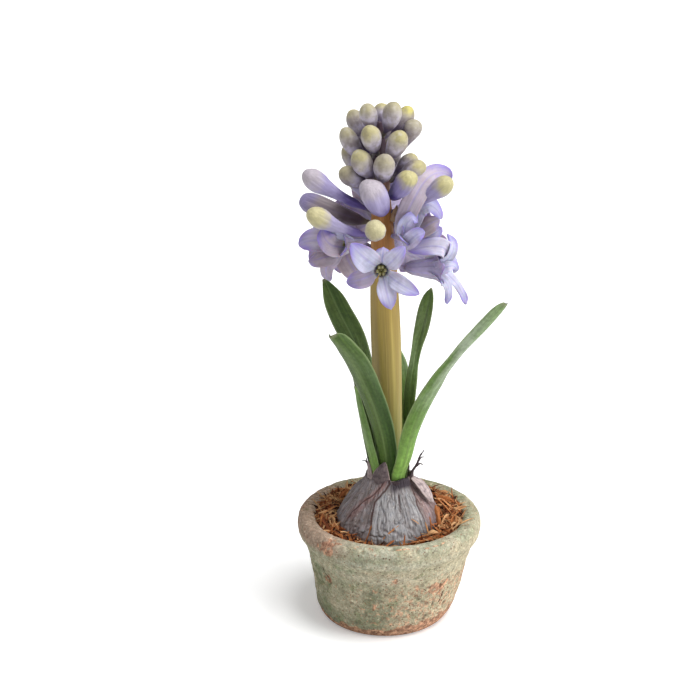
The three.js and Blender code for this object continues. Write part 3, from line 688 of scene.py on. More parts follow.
bulbLook = {
    "neckRadius": 13.8, "neckWall": 1.0, "neckTop": 88.5, "socketZ": 83.5, "bottomZ": 24,
    "columns": 400, "fibreRadius": 30,
    # azimuths where a side begins, is full, is full for the last time, and ends. The shaded front is painted
    # shade, where the front right leaf stands over the neck
    "shadedFront": (-4, 8, 50, 62), "paleFront": (-24, -18, 44, 50), "rosySide": (46, 54, 100, 140),
    "rosyBand": [(60, -60), (70, -54), (76, -46), (84, -22), (90, -8)],  # height and azimuth
    "edges": [  # height and azimuth of each layer's edge, how far it stands up, and how far that runs
        {"line": [(50, -17), (58, -20), (70, -22.5), (78, -23.6), (82.5, -13.5), (87, 1)],
         "step": 1.0, "run": 16},
        {"line": [(50, 47), (68, 47), (75, 48), (83, 57), (88, 62)], "step": -0.7, "run": 13},
        {"line": [(50, -60), (70, -56), (76, -46), (84, -22), (88, -12)], "step": 0.35, "run": 6},
        {"line": [(50, 112), (70, 118), (80, 130), (88, 138)], "step": 0.8, "run": 14},
        {"line": [(50, 176), (68, 170), (80, 178), (88, 190)], "step": 0.7, "run": 12},
        {"line": [(50, -118), (66, -124), (78, -116), (88, -104)], "step": 0.8, "run": 14},
    ],
    "creases": [  # height and azimuth, and depth
        {"line": [(73.5, 14.5), (77, 16), (81.5, 17)], "depth": 0.7},
        {"line": [(62, 33), (70, 36), (77, 34)], "depth": 0.3},
        {"line": [(60, -44), (70, -40), (76, -41)], "depth": 0.35},
        {"line": [(62, 88), (72, 84), (80, 86)], "depth": 0.5},
        {"line": [(60, -90), (70, -86), (82, -80)], "depth": 0.5},
        {"line": [(62, 150), (74, 146), (82, 150)], "depth": 0.5},
    ],
}


def gapTo(line, azimuth, z, r):  # how far round the wall a point is from a line on it
    heights, places = np.array(line, float).T
    return np.radians(wrapDegrees(azimuth - np.interp(z, heights, places))) * r


def makeBulb():
    # the radius at each height is raised by the relief: a step at each layer's edge that falls
    # away behind it, less creases and wrinkles, plus noises that are drawn out along Z
    look = bulbLook
    azimuth = np.linspace(-180, 180, look["columns"], endpoint=False)
    top, bottom, inner = look["neckTop"], look["bottomZ"], look["neckRadius"] - look["neckWall"]
    z = np.concatenate([np.linspace(bottom, 50, 24)[:-1], np.linspace(50, top, 130)])
    outside = np.column_stack([smoothCurve(bulbWall, z), z])
    socket = [(inner + 0.4, top + 0.1), (inner, top - 0.5), (inner, look["socketZ"]), (0.3, look["socketZ"])]
    outline = np.concatenate([[(0.3, bottom)], outside, evenLine(socket, 16, smooth=False)])
    r, z = outline[:, :1] + 0 * azimuth, outline[:, 1:] + 0 * azimuth
    isOuter = (np.arange(len(outline)) <= len(outside))[:, None] * 1.0
    around = onCircle(azimuth, look["fibreRadius"], z)
    seam, rise = 0.0, 0.0
    for edge in look["edges"]:
        gap = gapTo(edge["line"], azimuth, z, r) + 0.5 * cellNoise(around, 3.0, 70)
        fall = np.exp(-np.clip(gap, 0, None) / edge["run"])
        rise = rise + edge["step"] * smoothStep(-0.5, 0.5, gap) * fall * smoothStep(-40, -10, -np.abs(gap))
        seam = np.maximum(seam, hump(gap + 0.5, 0.75) * smoothStep(60, 68, z))
    for crease in look["creases"]:
        start, end = crease["line"][0][0], crease["line"][-1][0]
        line = hump(gapTo(crease["line"], azimuth, z, r), 0.7)
        line = line * window(z, start - 3, start + 1, end - 1, end + 3)
        rise = rise - crease["depth"] * line
        # a crease darkens the seam mark too, as painted shade in the crease
        seam = np.maximum(seam, line * crease["depth"])
    ribs = roughNoise(around, [2.6, 2.6, 22], 3, 71)
    drawn = around + 2.2 * np.stack([cellNoise(around, 6, 80 + i) for i in range(3)], -1)
    wrinkles = np.abs(roughNoise(drawn, [3.4, 3.4, 14], 3, 72))
    crumples = np.abs(roughNoise(drawn, [1.7, 1.7, 4.6], 2, 78))
    rise = rise + 0.24 * ribs + 0.9 * cellNoise(around, 15, 73) - 0.75 * smoothStep(0.25, 0, wrinkles)
    rise = rise - 0.35 * smoothStep(0.3, 0, crumples) + 0.14 * cellNoise(around, 1.5, 74)
    neck = smoothStep(80, top, z)
    rise = rise * (1 - 0.55 * neck) + neck * 0.5 * cellNoise(around, [4, 4, 30], 75)
    lift = 1.1 * cellNoise(around * [1, 1, 0], 3.2, 76) + 0.8 * cellNoise(around * [1, 1, 0], 9, 77)
    height = z + np.clip(lift, -1.2, 1.6) * smoothStep(84, top, z)
    grid = onCircle(azimuth, r + rise * isOuter, height)
    # painted shade: dark from just below the neck's top upwards where the front right leaf stands over it,
    # and half as dark round the very top of the neck
    shadeBand = smoothStep(82.6 - 1.2 * np.sin(np.radians(azimuth) * 9), 85.5, z)
    # painted shade: darker in the hollows of the wrinkles and crumples
    hollow = np.maximum(smoothStep(0.2, 0, wrinkles), 0.6 * smoothStep(0.25, 0, crumples))
    band = np.interp(z, *np.array(look["rosyBand"]).T)
    rosy = hump(wrapDegrees(azimuth - band), 9) * smoothStep(60, 72, z)
    marks = {
        "skin": around, "seam": seam, "low": smoothStep(70, 58, z), "hollow": hollow * isOuter,
        "paintedShade": np.maximum(window(azimuth, *look["shadedFront"]) * shadeBand, smoothStep(86, 89, z) * 0.5),
        "pale": window(azimuth, *look["paleFront"]) * smoothStep(88, 80, z),
        "rosy": rosy + 0.55 * window(azimuth, *look["rosySide"]),
    }
    buildPiece("bulb", [oneShell(grid, marks)], bulbCoat, ["bulb"])


def coatFinish(tree, place):
    fine = fibreMask(tree, "skin", 0.55, 0.09, 0.2)
    mottle = noise(tree, "skin", 0.42, 5.0)
    colour = mix(tree, fade(tree, noise(tree, "skin", 0.13, 4.0), 0.35, 0.65), "7f7370", "978c8e")
    colour = coats(tree, colour, [
        ("pale", 0.8, "a1a0a2"),
        (fade(tree, timesPlus(tree, mottle, 0.7, "rosy"), 0.45, 1.2), 0.7, "96706c"),
        (fade(tree, mottle, 0.52, 0.68), 0.6, "878c94"),
        (patchMask(tree, "skin", 0.95, 0.22, 1.8), 0.8, "c6c0ba"),
        ("low", 0.2, "80858b"),
        (patchMask(tree, "skin", 0.5, 0.2, 1.8), 0.65, "664d45"),
    ])
    colour = coats(tree, shade(tree, colour, fine, 0.74, 1.24), [
        # painted shade in the wrinkles' hollows
        ("hollow", 0.5, "5a4a46"),
        # dark joints along the layers' edges, and painted shade along the creases
        (fade(tree, "seam", 0.2, 0.9), 0.85, "4c2e2a"),
        # painted shade under the front right leaf and round the neck's top
        ("paintedShade", 0.9, "2e2430"),
    ])
    return surface(tree, colour, 0.62, 0.35, timesPlus(tree, mottle, 0.8, fine), 0.4)


bulbCoat = makeMaterial("bulbCoat", coatFinish)
makeBulb()
print("bulb made")


# Blades: leaves, papery pieces of the coat and petals are all thin arcs carried along a line

def bladeRings(line, side, face, width, curve, thickness, across, rib=0.0, wave=0.0):
    # at each ring the blade is an arc of the given curvature (one over its radius), reaching its
    # half width to each side: sideways it goes sin(curve x reach) / curve, and towards its inner
    # face (1 - cos(curve x reach)) / curve. Its thickness falls off to the edges, and a rib runs
    # down the middle of its back, with a groove in front
    bend = np.where(np.abs(curve) < 1e-4, 1e-4, curve)[..., None]
    reach = across * width[..., None]
    sideways, inward = np.sin(bend * reach) / bend, (1 - np.cos(bend * reach)) / bend + wave
    half = thickness[..., None] * (1 - 0.8 * np.abs(across) ** 2.2) / 2
    ridge = rib * hump(across, 0.13)
    line, side, face = (way[..., None, :] for way in (line, side, face))
    skins = []
    for sign, height in ((1, half - 0.7 * ridge), (-1, half + ridge)):
        out = sideways - sign * height * np.sin(bend * reach)
        shadedHalf = inward + sign * height * np.cos(bend * reach)
        skins.append(line + out[..., None] * side + shadedHalf[..., None] * face)
    return np.concatenate([skins[0], skins[1][..., ::-1, :]], axis=-2)


def bladeMarks(reach, across, distance, share, own):
    # what the materials need to know at each point of a blade
    sideways = np.concatenate([reach, reach[..., ::-1]], -1)
    inner = np.repeat([1.0, 0.0], len(across))
    skin = together(sideways, 40 * inner + own, distance[..., None])
    across = np.abs(np.concatenate([across, across[::-1]]))
    return {"skin": skin, "along": share[..., None], "across": across, "inner": inner}


def turned(side, face, angle):  # both ways, turned round the line that they stand on
    return side * np.cos(angle) + face * np.sin(angle), face * np.cos(angle) - side * np.sin(angle)


def bladeShell(look, rows, columns=15, seed=0):
    line = evenLine(look["path"], rows)
    heading = unit(np.gradient(line, axis=0))
    share = np.linspace(0, 1, rows)
    azimuth = np.radians(np.interp(share, [0, 1], look["turn"]))
    face = unit(np.cross(heading, together(np.cos(azimuth), np.sin(azimuth), 0)))
    roll = np.radians(smoothCurve(look.get("roll", [(0, 0), (1, 0)]), share))[:, None]
    side, face = turned(np.cross(face, heading), face, roll)
    width = smoothCurve(look["width"], share)
    across = np.linspace(-1, 1, columns)
    hood = 1 + look.get("hood", 0.0) * smoothStep(0.82, 1, share)
    curve = 2 * look["channel"] * hood / np.maximum(width, 1.5)
    reach = across * width[:, None]
    distance = share * np.linalg.norm(np.diff(line, axis=0), axis=1).sum()
    place = together(reach, distance[:, None], seed * 9.0)
    wave = look["wave"] * np.abs(across) ** 2 * cellNoise(place, [40.0, 13.0, 1.0], seed)
    wave = wave + 0.3 * look["wave"] * cellNoise(place, [3.0, 30.0, 1.0], seed + 1)
    thickness = look["thickness"] * (1 - 0.6 * smoothStep(0.7, 1, share))
    rings = bladeRings(line, side, face, width, curve, thickness, across, look["rib"], wave)
    marks = bladeMarks(reach, across, distance, share, seed * 17.0)
    return oneShell(rings, {**marks, "shade": look["shade"], "dusty": look["dusty"]})


leafBase = 84.4
leafCommon = {"thickness": 1.7, "rib": 0.28, "wave": 0.5}
# each leaf's shade sets how dark its green is: its own tone, and painted shade on the leaves that stand in
# shadow
leaves = {
    "leaf_front_right": {
        "path": [(5.3, -8.9, leafBase), (5.5, -9.1, 89.5), (8.1, -13.4, 101), (11, -18, 118),
                 (16, -26, 137), (24, -37, 158), (32.5, -48, 176), (39, -55, 187),
                 (49, -63, 202), (57.1, -70.2, 214.6)],
        "width": [(0, 4.8), (0.2, 5.8), (0.35, 6.1), (0.5, 5.5), (0.6, 4.3), (0.68, 3.7), (0.8, 4),
                  (0.9, 4.2), (0.955, 3.8), (0.985, 2.8), (1, 1.6)],
        "channel": 0.25, "turn": (28, 10), "hood": 0.8, "shade": 0, "dusty": 0.9,
    },
    "leaf_front_left": {
        "path": [(-1.6, -8.3, leafBase), (-1.9, -9.3, 101), (-4, -12.4, 116), (-8, -16.5, 133),
                 (-14, -21.5, 151), (-22, -28, 169), (-34, -37, 186)],
        "width": [(0, 5.8), (0.2, 6.9), (0.5, 7.8), (0.75, 8.4), (0.88, 8.2), (0.93, 7.9), (0.96, 7.1),
                  (0.98, 5.6), (0.993, 3.5), (1, 0.9)],
        "channel": 0.34, "turn": (-12, -24), "hood": 1.2, "shade": 1, "dusty": 0.16,
    },
    "leaf_back_left": {
        "path": [(-9.4, 3.6, leafBase), (-12, 5.5, 107), (-14, 9, 124), (-16, 13, 144), (-20.5, 17, 163),
                 (-29.5, 20, 182), (-38.5, 22, 202)],
        "width": [(0, 6.2), (0.25, 7.6), (0.6, 8.2), (0.8, 7.6), (0.92, 5.6), (1, 1.2)],
        "channel": 0.22, "turn": (-110, -175), "hood": 0.8, "shade": 0.85, "dusty": 0.06,
    },
    "leaf_back_right": {
        "path": [(8.9, 4.9, leafBase), (9.1, 5.2, 89.5), (11.4, 7, 101), (12.4, 10.5, 121), (13, 14.5, 139),
                 (15.2, 18, 156), (19.5, 22.5, 173), (24.4, 27, 195)],
        "width": [(0, 4.2), (0.3, 4.9), (0.45, 4.2), (0.6, 2.9), (0.68, 3.1), (0.78, 4.8), (0.86, 5.5),
                  (0.92, 5), (0.97, 3.2), (1, 0.6)],
        "channel": 0.2, "turn": (120, 140), "roll": [(0, 0), (0.45, 15), (0.6, 55), (0.78, 12), (1, -8)],
        "shade": 0.55, "dusty": 0.3,
    },
    "leaf_left": {
        "path": [(-7.6, -6.7, leafBase), (-9.6, -8, 99), (-13, -8, 113), (-17, -7.4, 130),
                 (-20.5, -7, 146)],
        "width": [(0, 3.4), (0.3, 4), (0.7, 3.7), (0.9, 2.6), (1, 0.6)],
        "channel": 0.25, "turn": (-42, -60), "shade": 0.1, "dusty": 0.4,
    },
    "leaf_back": {
        "path": [(0.8, 10.4, leafBase), (2.6, 13, 105), (3.2, 19, 128), (2.2, 31, 145), (-1, 44, 152),
                 (-4, 57, 154), (-8, 69.3, 152)],
        "width": [(0, 5.2), (0.12, 9), (0.28, 11.2), (0.45, 10.6), (0.65, 8.6), (0.85, 5.6), (1, 0.9)],
        "channel": 0.16, "turn": (180, 184), "hood": 0.6, "shade": 0, "dusty": 0.3,
    },
}


def leafFinish(tree, place):
    veins = fibreMask(tree, "skin", 0.8, 0.02, 0.18)
    fineVeins = fibreMask(tree, "skin", 2.2, 0.03, 0.25)
    cloudy = fibreMask(tree, "skin", 0.16, 0.03, 0.25)
    light = fibreMask(tree, "skin", 0.34, 0.012, 0.2)
    fresh = timesPlus(tree, maths(tree, "SUBTRACT", 1.0, "shade"), 0.65, 0.12)
    belowTip = timesPlus(tree, fade(tree, "along", 0.76, 0.98), -0.6, 1.0)
    dusty = times(tree, times(tree, "dusty", fade(tree, "along", 0.2, 0.75)), belowTip)
    sideways = addNode(tree, "SeparateXYZ", {0: "skin"}).outputs[0]
    # painted shade: from below the tip down, a darker leaf is darkened more on one half, the side turned from
    # the light
    shadedHalf = times(tree, "shade", fade(tree, "along", 0.95, 0.4))
    # the shade mark darkens a leaf's green, as painted shade where the leaf stands in shadow
    colour = coats(tree, mix(tree, "shade", "6e963f", "47641e"), [
        ("inner", 0.35, "33501c"),
        (fade(tree, "along", 0.42, 0.0), fresh, "9acb64"),
        (dusty, fade(tree, cloudy, 0.9, 0.1), "b4c2aa"),
        (cloudy, 0.4, "2f4c1f"),
        (light, 0.18, "93a455"),
        (times(tree, shadedHalf, fade(tree, sideways, -2.5, 3.5)), 0.75, "2f4e1c"),
    ])
    colour = shade(tree, colour, veins, 0.83, 1.1)
    colour = shade(tree, colour, fineVeins, 0.9, 1.08)
    colour = shade(tree, colour, fade(tree, noise(tree, "skin", 0.5, 5.0), 0.35, 0.65), 0.86, 1.12)
    colour = coats(tree, colour, [
        (fade(tree, "across", 0.14, 0.0), 0.25, "8aa568"),
        (fade(tree, "across", 0.84, 1.0), 0.6, "98ab76"),
        (fade(tree, "along", 0.975, 1.0), 0.5, "9d9880"),
    ])
    return surface(tree, colour, 0.5, 0.34, timesPlus(tree, fineVeins, 0.4, veins), 0.25)


leafSkin = makeMaterial("leafSkin", leafFinish)
for number, (name, look) in enumerate(leaves.items()):
    buildPiece(name, [bladeShell({**leafCommon, **look}, 110, 19, number + 1)], leafSkin, [name])
print("leaves made")


# Papery pieces of the coat, and the bits of root and twig that cling to the neck

coatCommon = {"thickness": 0.7, "rib": 0.1, "wave": 1.6}
coatPieces = {
    "tunic_flap_right": {
        "path": [(13.6, -6.2, 88.8), (17.6, -7.6, 86), (22.4, -9, 80.4), (26.2, -10, 73.6)],
        "width": [(0, 2.4), (0.2, 3.6), (0.55, 3.9), (0.8, 2.9), (0.94, 1.6), (1, 0.6)],
        "channel": 0.15, "turn": (52, 44), "shade": 0, "dusty": 1,
    },
    "tunic_scale_front": {
        "path": [(-6.4, -12.6, 86.6), (-5.2, -13.2, 93), (-3, -13.9, 101.2)],
        "width": [(0, 6.6), (0.25, 6), (0.5, 4.6), (0.75, 2.7), (0.92, 1.3), (1, 0.4)],
        "channel": 0.3, "turn": (-26, -18), "shade": 0.9, "dusty": 0.2,
    },
}
neckSheaths = [  # dried bases of old leaves that stand round the neck
    {"path": [(-12.4, -4.6, 84.5), (-12.2, -5, 91), (-12.6, -5.4, 98.6)],
     "width": [(0, 5), (0.4, 3.8), (0.75, 2.1), (1, 0.5)], "channel": 0.35, "turn": (-70, -66),
     "shade": 0.35, "dusty": 0.7},
    {"path": [(-8.5, 10.5, 84.5), (-9.2, 11.6, 90), (-9.6, 12.2, 95)],
     "width": [(0, 5.5), (0.5, 4.4), (1, 0.6)], "channel": 0.35, "turn": (-140, -140),
     "shade": 0.5, "dusty": 0.4},
    {"path": [(9.6, 9.4, 84.5), (10.6, 10.4, 89), (11.4, 11.4, 93.5)],
     "width": [(0, 5), (0.5, 4.4), (1, 0.6)], "channel": 0.35, "turn": (136, 136),
     "shade": 0.6, "dusty": 0.5},
    {"path": [(12.9, -4.4, 84.2), (13.8, -4.2, 88), (14.2, -3.4, 91)],
     "width": [(0, 4), (0.5, 3.2), (1, 0.6)], "channel": 0.3, "turn": (70, 76),
     "shade": 0.8, "dusty": 0.2},
    {"path": [(3.8, -13.6, 84), (4.3, -14.2, 86.4), (4.9, -14.4, 88.6)],
     "width": [(0, 4.6), (0.5, 4.6), (0.85, 3.4), (1, 1.5)], "channel": 0.3, "turn": (18, 18),
     "shade": 1, "dusty": 0},
]
wisps = [  # points along each twig, then its thickness
    ([(11.6, -6.4, 87), (13.2, -6.6, 92), (16.2, -7, 97.5), (17.6, -7, 102), (20, -7.2, 106)], 1),
    ([(15.6, -7, 96), (18, -7.4, 97.6), (19.6, -7.6, 97)], 0.75),
    ([(17, -7, 99.5), (18.6, -7, 101.5), (20.4, -7.2, 101.8)], 0.6),
    ([(-12.4, -5, 95.6), (-14.2, -5.2, 98.4), (-16.2, -5.4, 98.6)], 0.7),
    ([(-13.2, -5.2, 97), (-13.6, -5.4, 99.8), (-12.8, -5.4, 101.2)], 0.5),
]


def twigShell(points, thickness, seed):
    # a round section carried along a line, thinner towards its end and a little knotty
    rows = 22
    line = evenLine(points, rows)
    heading = unit(np.gradient(line, axis=0))
    side = unit(np.cross(heading, [0.3, 1.0, 0.1]))
    turn = np.linspace(0, 2 * np.pi, 8, endpoint=False)[:, None]
    ring = np.cos(turn) * side[:, None] + np.sin(turn) * np.cross(side, heading)[:, None]
    radius = thickness * np.linspace(1, 0.35, rows) * (1 + 0.25 * cellNoise(line * 3, 1.5, seed))
    grid = line[:, None] + radius[:, None, None] * ring
    return oneShell(grid, {"skin": grid, "across": 0, "shade": 0.95, "dusty": 0})


def tunicFinish(tree, place):
    fibres = fibreMask(tree, "skin", 2.2, 0.2, 0.2)
    mottle = noise(tree, "skin", 0.35, 4.0)
    edge = mix(tree, fade(tree, "dusty", 0.5, 1.0), "bfa79a", "593c38")
    colour = coats(tree, mix(tree, "shade", "8d7c7f", "3c2d33"), [
        ("dusty", fade(tree, mottle, 0.3, 0.6), "c4b3b0"),
        (fade(tree, mottle, 0.56, 0.74), 0.4, "7a5c55"),
        (fade(tree, "across", 0.84, 1.0), 0.6, edge),
    ])
    return surface(tree, shade(tree, colour, fibres, 0.74, 1.15), 0.58, 0.35, fibres, 0.2)


tunic = makeMaterial("driedTunic", tunicFinish)
for number, (name, look) in enumerate(coatPieces.items()):
    buildPiece(name, [bladeShell({**coatCommon, **look}, 40, 13, number + 21)], tunic, [name])
sheathShells = [bladeShell({**coatCommon, **look}, 26, 13, i + 31) for i, look in enumerate(neckSheaths)]
buildPiece("neck_sheaths", sheathShells, tunic)
buildPiece("neck_wisps", [twigShell(*wisp, 40 + i) for i, wisp in enumerate(wisps)], tunic)
print("papery pieces made")


# The stem, with a low swelling where each floret's stalk leaves it

stemProfile = [  # height and radius
    (83.8, 6.6), (100, 7.3), (130, 8.1), (200, 8.1), (222, 7), (245, 5.8), (270, 4.4), (288, 2.8),
    (297, 1.4),
]
stemLook = {
    "rootX": 0.4, "leanStartsZ": 94, "lean": -0.039, "rows": 260, "columns": 60, "footBump": 0.55,
    "footReach": 2.2, "fibreRadius": 8,
}
stalkRadius = 1.3

tightBuds = [
    # azimuth, height of the foot, the axis' rise at its foot and at its end, length, width,
    # ripeness, and for the violet one how deep its violet is
    (-36, 291.5, 45, 82, 19, 9.8, 0.1), (38, 290.5, 45, 86, 21, 10.6, 0.1),
    (100, 286, 40, 75, 23, 10.2, 0.9),
    (172, 291.5, 45, 82, 16, 9.8, 0.4), (-113, 285, 35, 75, 22, 10.2, 0.15),
    (-75, 275, 25, 80, 26, 9.9, 0.05),
    (-19, 280.5, 30, 68, 23, 11, 0.3), (32, 277, 30, 66, 24, 11.2, 0.3),
    (80, 276.5, 38, 76, 27, 10, -0.2, 0.8),
    (128, 277, 30, 68, 24, 10.4, 0.4), (176, 278, 30, 68, 24, 10.4, 0.3),
    (-140, 276, 30, 68, 24, 10.4, 0.2),
    (-35, 267, 25, 66, 25, 11.4, 0.25), (4, 265, 25, 66, 25.5, 11.8, 0.05),
    (76, 264.5, 14, 48, 22, 11.4, 0.35),
    (-106, 264.5, 32, 70, 24, 9, 0.1), (-62, 261.5, 20, 42, 22.5, 10.8, 0.1),
    (118, 264, 22, 60, 21, 10.4, 0.3),
    (160, 265, 22, 60, 25, 10.4, 0.2), (-154, 263, 22, 60, 25, 10.4, 0.2),
]
longBuds = [
    # the same, each with how deep its violet is, and two with how far the lower part stands
    # aside. Ripeness below 0 is wilting
    (36, 256, 20, 60, 27, 11.4, 1, 1, -1), (-15, 247.5, 25, 66, 31, 14.6, 0, 0.62, 5),
    (-60, 248, 25, 38, 50, 11.5, 0.1, 0.75),
    (-52, 234, 15, 34, 49, 11.2, 0.55, 0.35), (-112, 240, 5, 22, 45, 12.5, -1, 0.5),
    (-7, 239, 5, 20, 38.5, 11.4, 0.5, 0.2),
    (65, 247.5, 20, 44, 41, 11, 0.6, 0.7), (162, 250, 15, 40, 38, 11.5, 0.5, 0.6),
    (-158, 247, 10, 34, 36, 11.5, 0.5, 0.5),
]
leftOnes = [  # petals with a line of their own: the points on it, their half width, where the inner side looks along the line, how hollow they are across, and how blushed, high ones as painted shade
    # inner side looks along the line, how hollow they are across, and how dull and bruised
    ([(-28.5, -6, 230.5), (-35, -9, 232.5), (-42, -12, 233.5), (-47.5, -13.5, 233), (-51.5, -13, 231)], 7.2,
     ((-0.1, -0.95, 0.3), (-0.35, -0.8, 0.5)), 0.05, 0.55),
    ([(-27.5, -8, 227), (-32, -12, 225.5), (-38, -14, 224), (-43, -13, 222.5), (-46.5, -11, 221.5)], 5.2,
     ((0.1, 0.9, -0.4), (0.2, 0.8, -0.5)), 0.06, 0.75),
    ([(-27.5, -9, 226), (-32, -13, 222.5), (-36, -14, 219), (-36.5, -12, 213.5), (-34.5, -8.5, 209)], 3.9,
     ((0.2, 0.9, -0.2), (0.3, 0.85, 0.2)), 0.08, 0.6),
    ([(-24, -8, 227.5), (-29, -13, 230), (-33.5, -17, 232), (-37, -19, 236), (-39, -18, 241)], 6.6,
     ((0, -0.95, 0.3), (0.35, -0.85, 0.3)), 0.1, 1),
    ([(-21, -9, 232), (-25.5, -14, 236), (-30.5, -17, 239), (-34, -18, 241), (-38, -16, 241)], 3.6,
     ((0, -0.7, -0.7), (0, -0.6, -0.8)), 0.16, 0.2),
    ([(-26.5, -2, 231), (-26, -7, 226.5), (-24, -11, 221.5), (-20.5, -12.5, 216), (-17.5, -11, 209)], 7,
     ((-0.1, 0.9, -0.4), (0, 0.9, -0.3)), 0.05, 0.9),
]
rightOnes = [
    ([(20, -4.5, 212.5), (25.5, -7, 212), (29.5, -8, 209.5), (32, -7, 204.5), (32.5, -5.5, 199.5),
     (31.5, -4, 194.5)], [(0, 3.6), (0.25, 4.2), (0.5, 3.2), (0.75, 2.4), (0.92, 1.9), (1, 0.6)],
     ((0.1, 0.3, 0.95), (0.5, -0.8, 0.4), (0.3, -0.93, 0.1)), 0.1, 0.25),
    ([(24, 1, 212), (30, 3, 211), (34.5, 3, 207.5), (38, 2.5, 203.5), (41, 1.5, 198.5), (43, 0, 193)],
     [(0, 3.2), (0.25, 3.7), (0.5, 2.7), (0.75, 2.3), (0.92, 1.9), (1, 0.6)], ((0.2, -0.3, 0.9),
     (0.4, -0.85, 0.4), (0.3, -0.9, 0.2)), 0.1, 0.15),
    ([(21.5, -4, 218), (27, -6.5, 219), (31, -8, 222), (33.5, -8.5, 226.5), (34, -7, 230.5),
     (31, -5, 235.5)], [(0, 3.4), (0.3, 3.8), (0.5, 3.4), (0.75, 2.7), (0.9, 1.9), (1, 0.4)],
     ((0.1, -0.9, -0.4), (0.5, -0.85, -0.1), (0.4, -0.8, 0.4)), 0.16, 0.05),
    ([(23, -6, 215.5), (28.5, -8.5, 216.5), (32, -9.5, 218), (34.5, -9, 218), (36, -8, 216),
     (35, -7, 213.5)], [(0, 3.4), (0.35, 3.8), (0.65, 2.9), (0.88, 2.1), (1, 0.6)], ((0.1, -0.9, 0.3),
     (0.3, -0.8, 0.5), (0.4, -0.9, -0.1)), 0.12, 0.05),
    ([(20.5, -1, 219.5), (27, -5, 222), (30.5, -8.5, 225.5), (28.5, -11, 229), (23, -11.5, 230),
     (16, -10.5, 229), (9, -8, 226.5)], [(0, 3.4), (0.2, 4.2), (0.4, 5), (0.6, 5.2), (0.8, 4.2),
     (0.93, 2.4), (1, 0.4)], ((0.3, -0.9, -0.2), (0.4, -0.8, 0.4), (0, -0.93, 0.35), (-0.1, -0.93, 0.35)),
     0.06, 0.5),
    ([(24.5, 4, 217), (30, 7, 218.5), (33.5, 8, 218.5), (36.5, 8.5, 217), (38.5, 8, 214.5)], [(0, 3.2),
     (0.5, 3.3), (0.8, 2.6), (1, 0.5)], ((0.1, 0.2, -0.9), (0.4, -0.3, 0.8), (0.7, -0.4, 0.5)), 0.1, 0.2),
]
frontOnes = [
    ([(8.5, -10, 231), (6.5, -14, 238), (8, -16, 244), (11, -16, 247), (14, -14.5, 244.5)], 4.7,
     ((-0.5, -0.85, 0.1), (0.3, -0.75, 0.6)), 0.1, 0),
    ([(11.5, -7, 234.5), (12, -10, 244), (14.5, -11, 251), (19.5, -10, 253), (24, -8.5, 250),
     (27, -7.5, 244.5)], 5.2, ((-0.5, -0.8, 0.2), (0.2, -0.75, 0.6), (0.5, -0.8, 0.3)), 0.08, 0.1),
    ([(7, -12, 229), (10, -17, 235), (14, -19.5, 239), (17.5, -19, 240)], 4.8, ((-0.2, -0.8, 0.6),
     (0.3, -0.9, 0.2)), 0.09, 0.3),
    ([(12, -8, 235), (17, -11, 240), (22, -12, 243.5), (26, -11, 245)], 5.2, ((0.1, 0.8, -0.5),
     (0.1, 0.9, -0.3)), 0.05, 1),
    ([(14, -6, 232.5), (19, -8, 235), (23, -9, 236.5), (27.5, -8.5, 240)], 3.9, ((0, -0.9, 0.4),
     (0.1, -0.9, 0.3)), 0.08, 0),
    ([(11, -3, 231.5), (12.5, -2, 239), (15.5, 0, 245), (19.5, 1, 248.5)], 4.4, ((0.3, -0.9, 0.3),
     (0.3, -0.9, 0.3)), 0.08, 0.4),
]
archedOne = [
    ([(4.5, -8, 235), (6.5, -12, 244.5), (9, -14.5, 252), (12.5, -14.5, 259), (16, -12, 264.5),
     (20.5, -8, 268.5), (25.5, -3.5, 269.5), (30.5, 0.5, 267.5), (32.5, 2.5, 263.5)], [(0, 3), (0.15, 5),
     (0.35, 5.9), (0.6, 5.8), (0.8, 5), (0.92, 3.4), (1, 0.6)], ((-0.1, -0.95, 0.3), (-0.1, -0.9, 0.4)),
     0.03, 0.95),
]
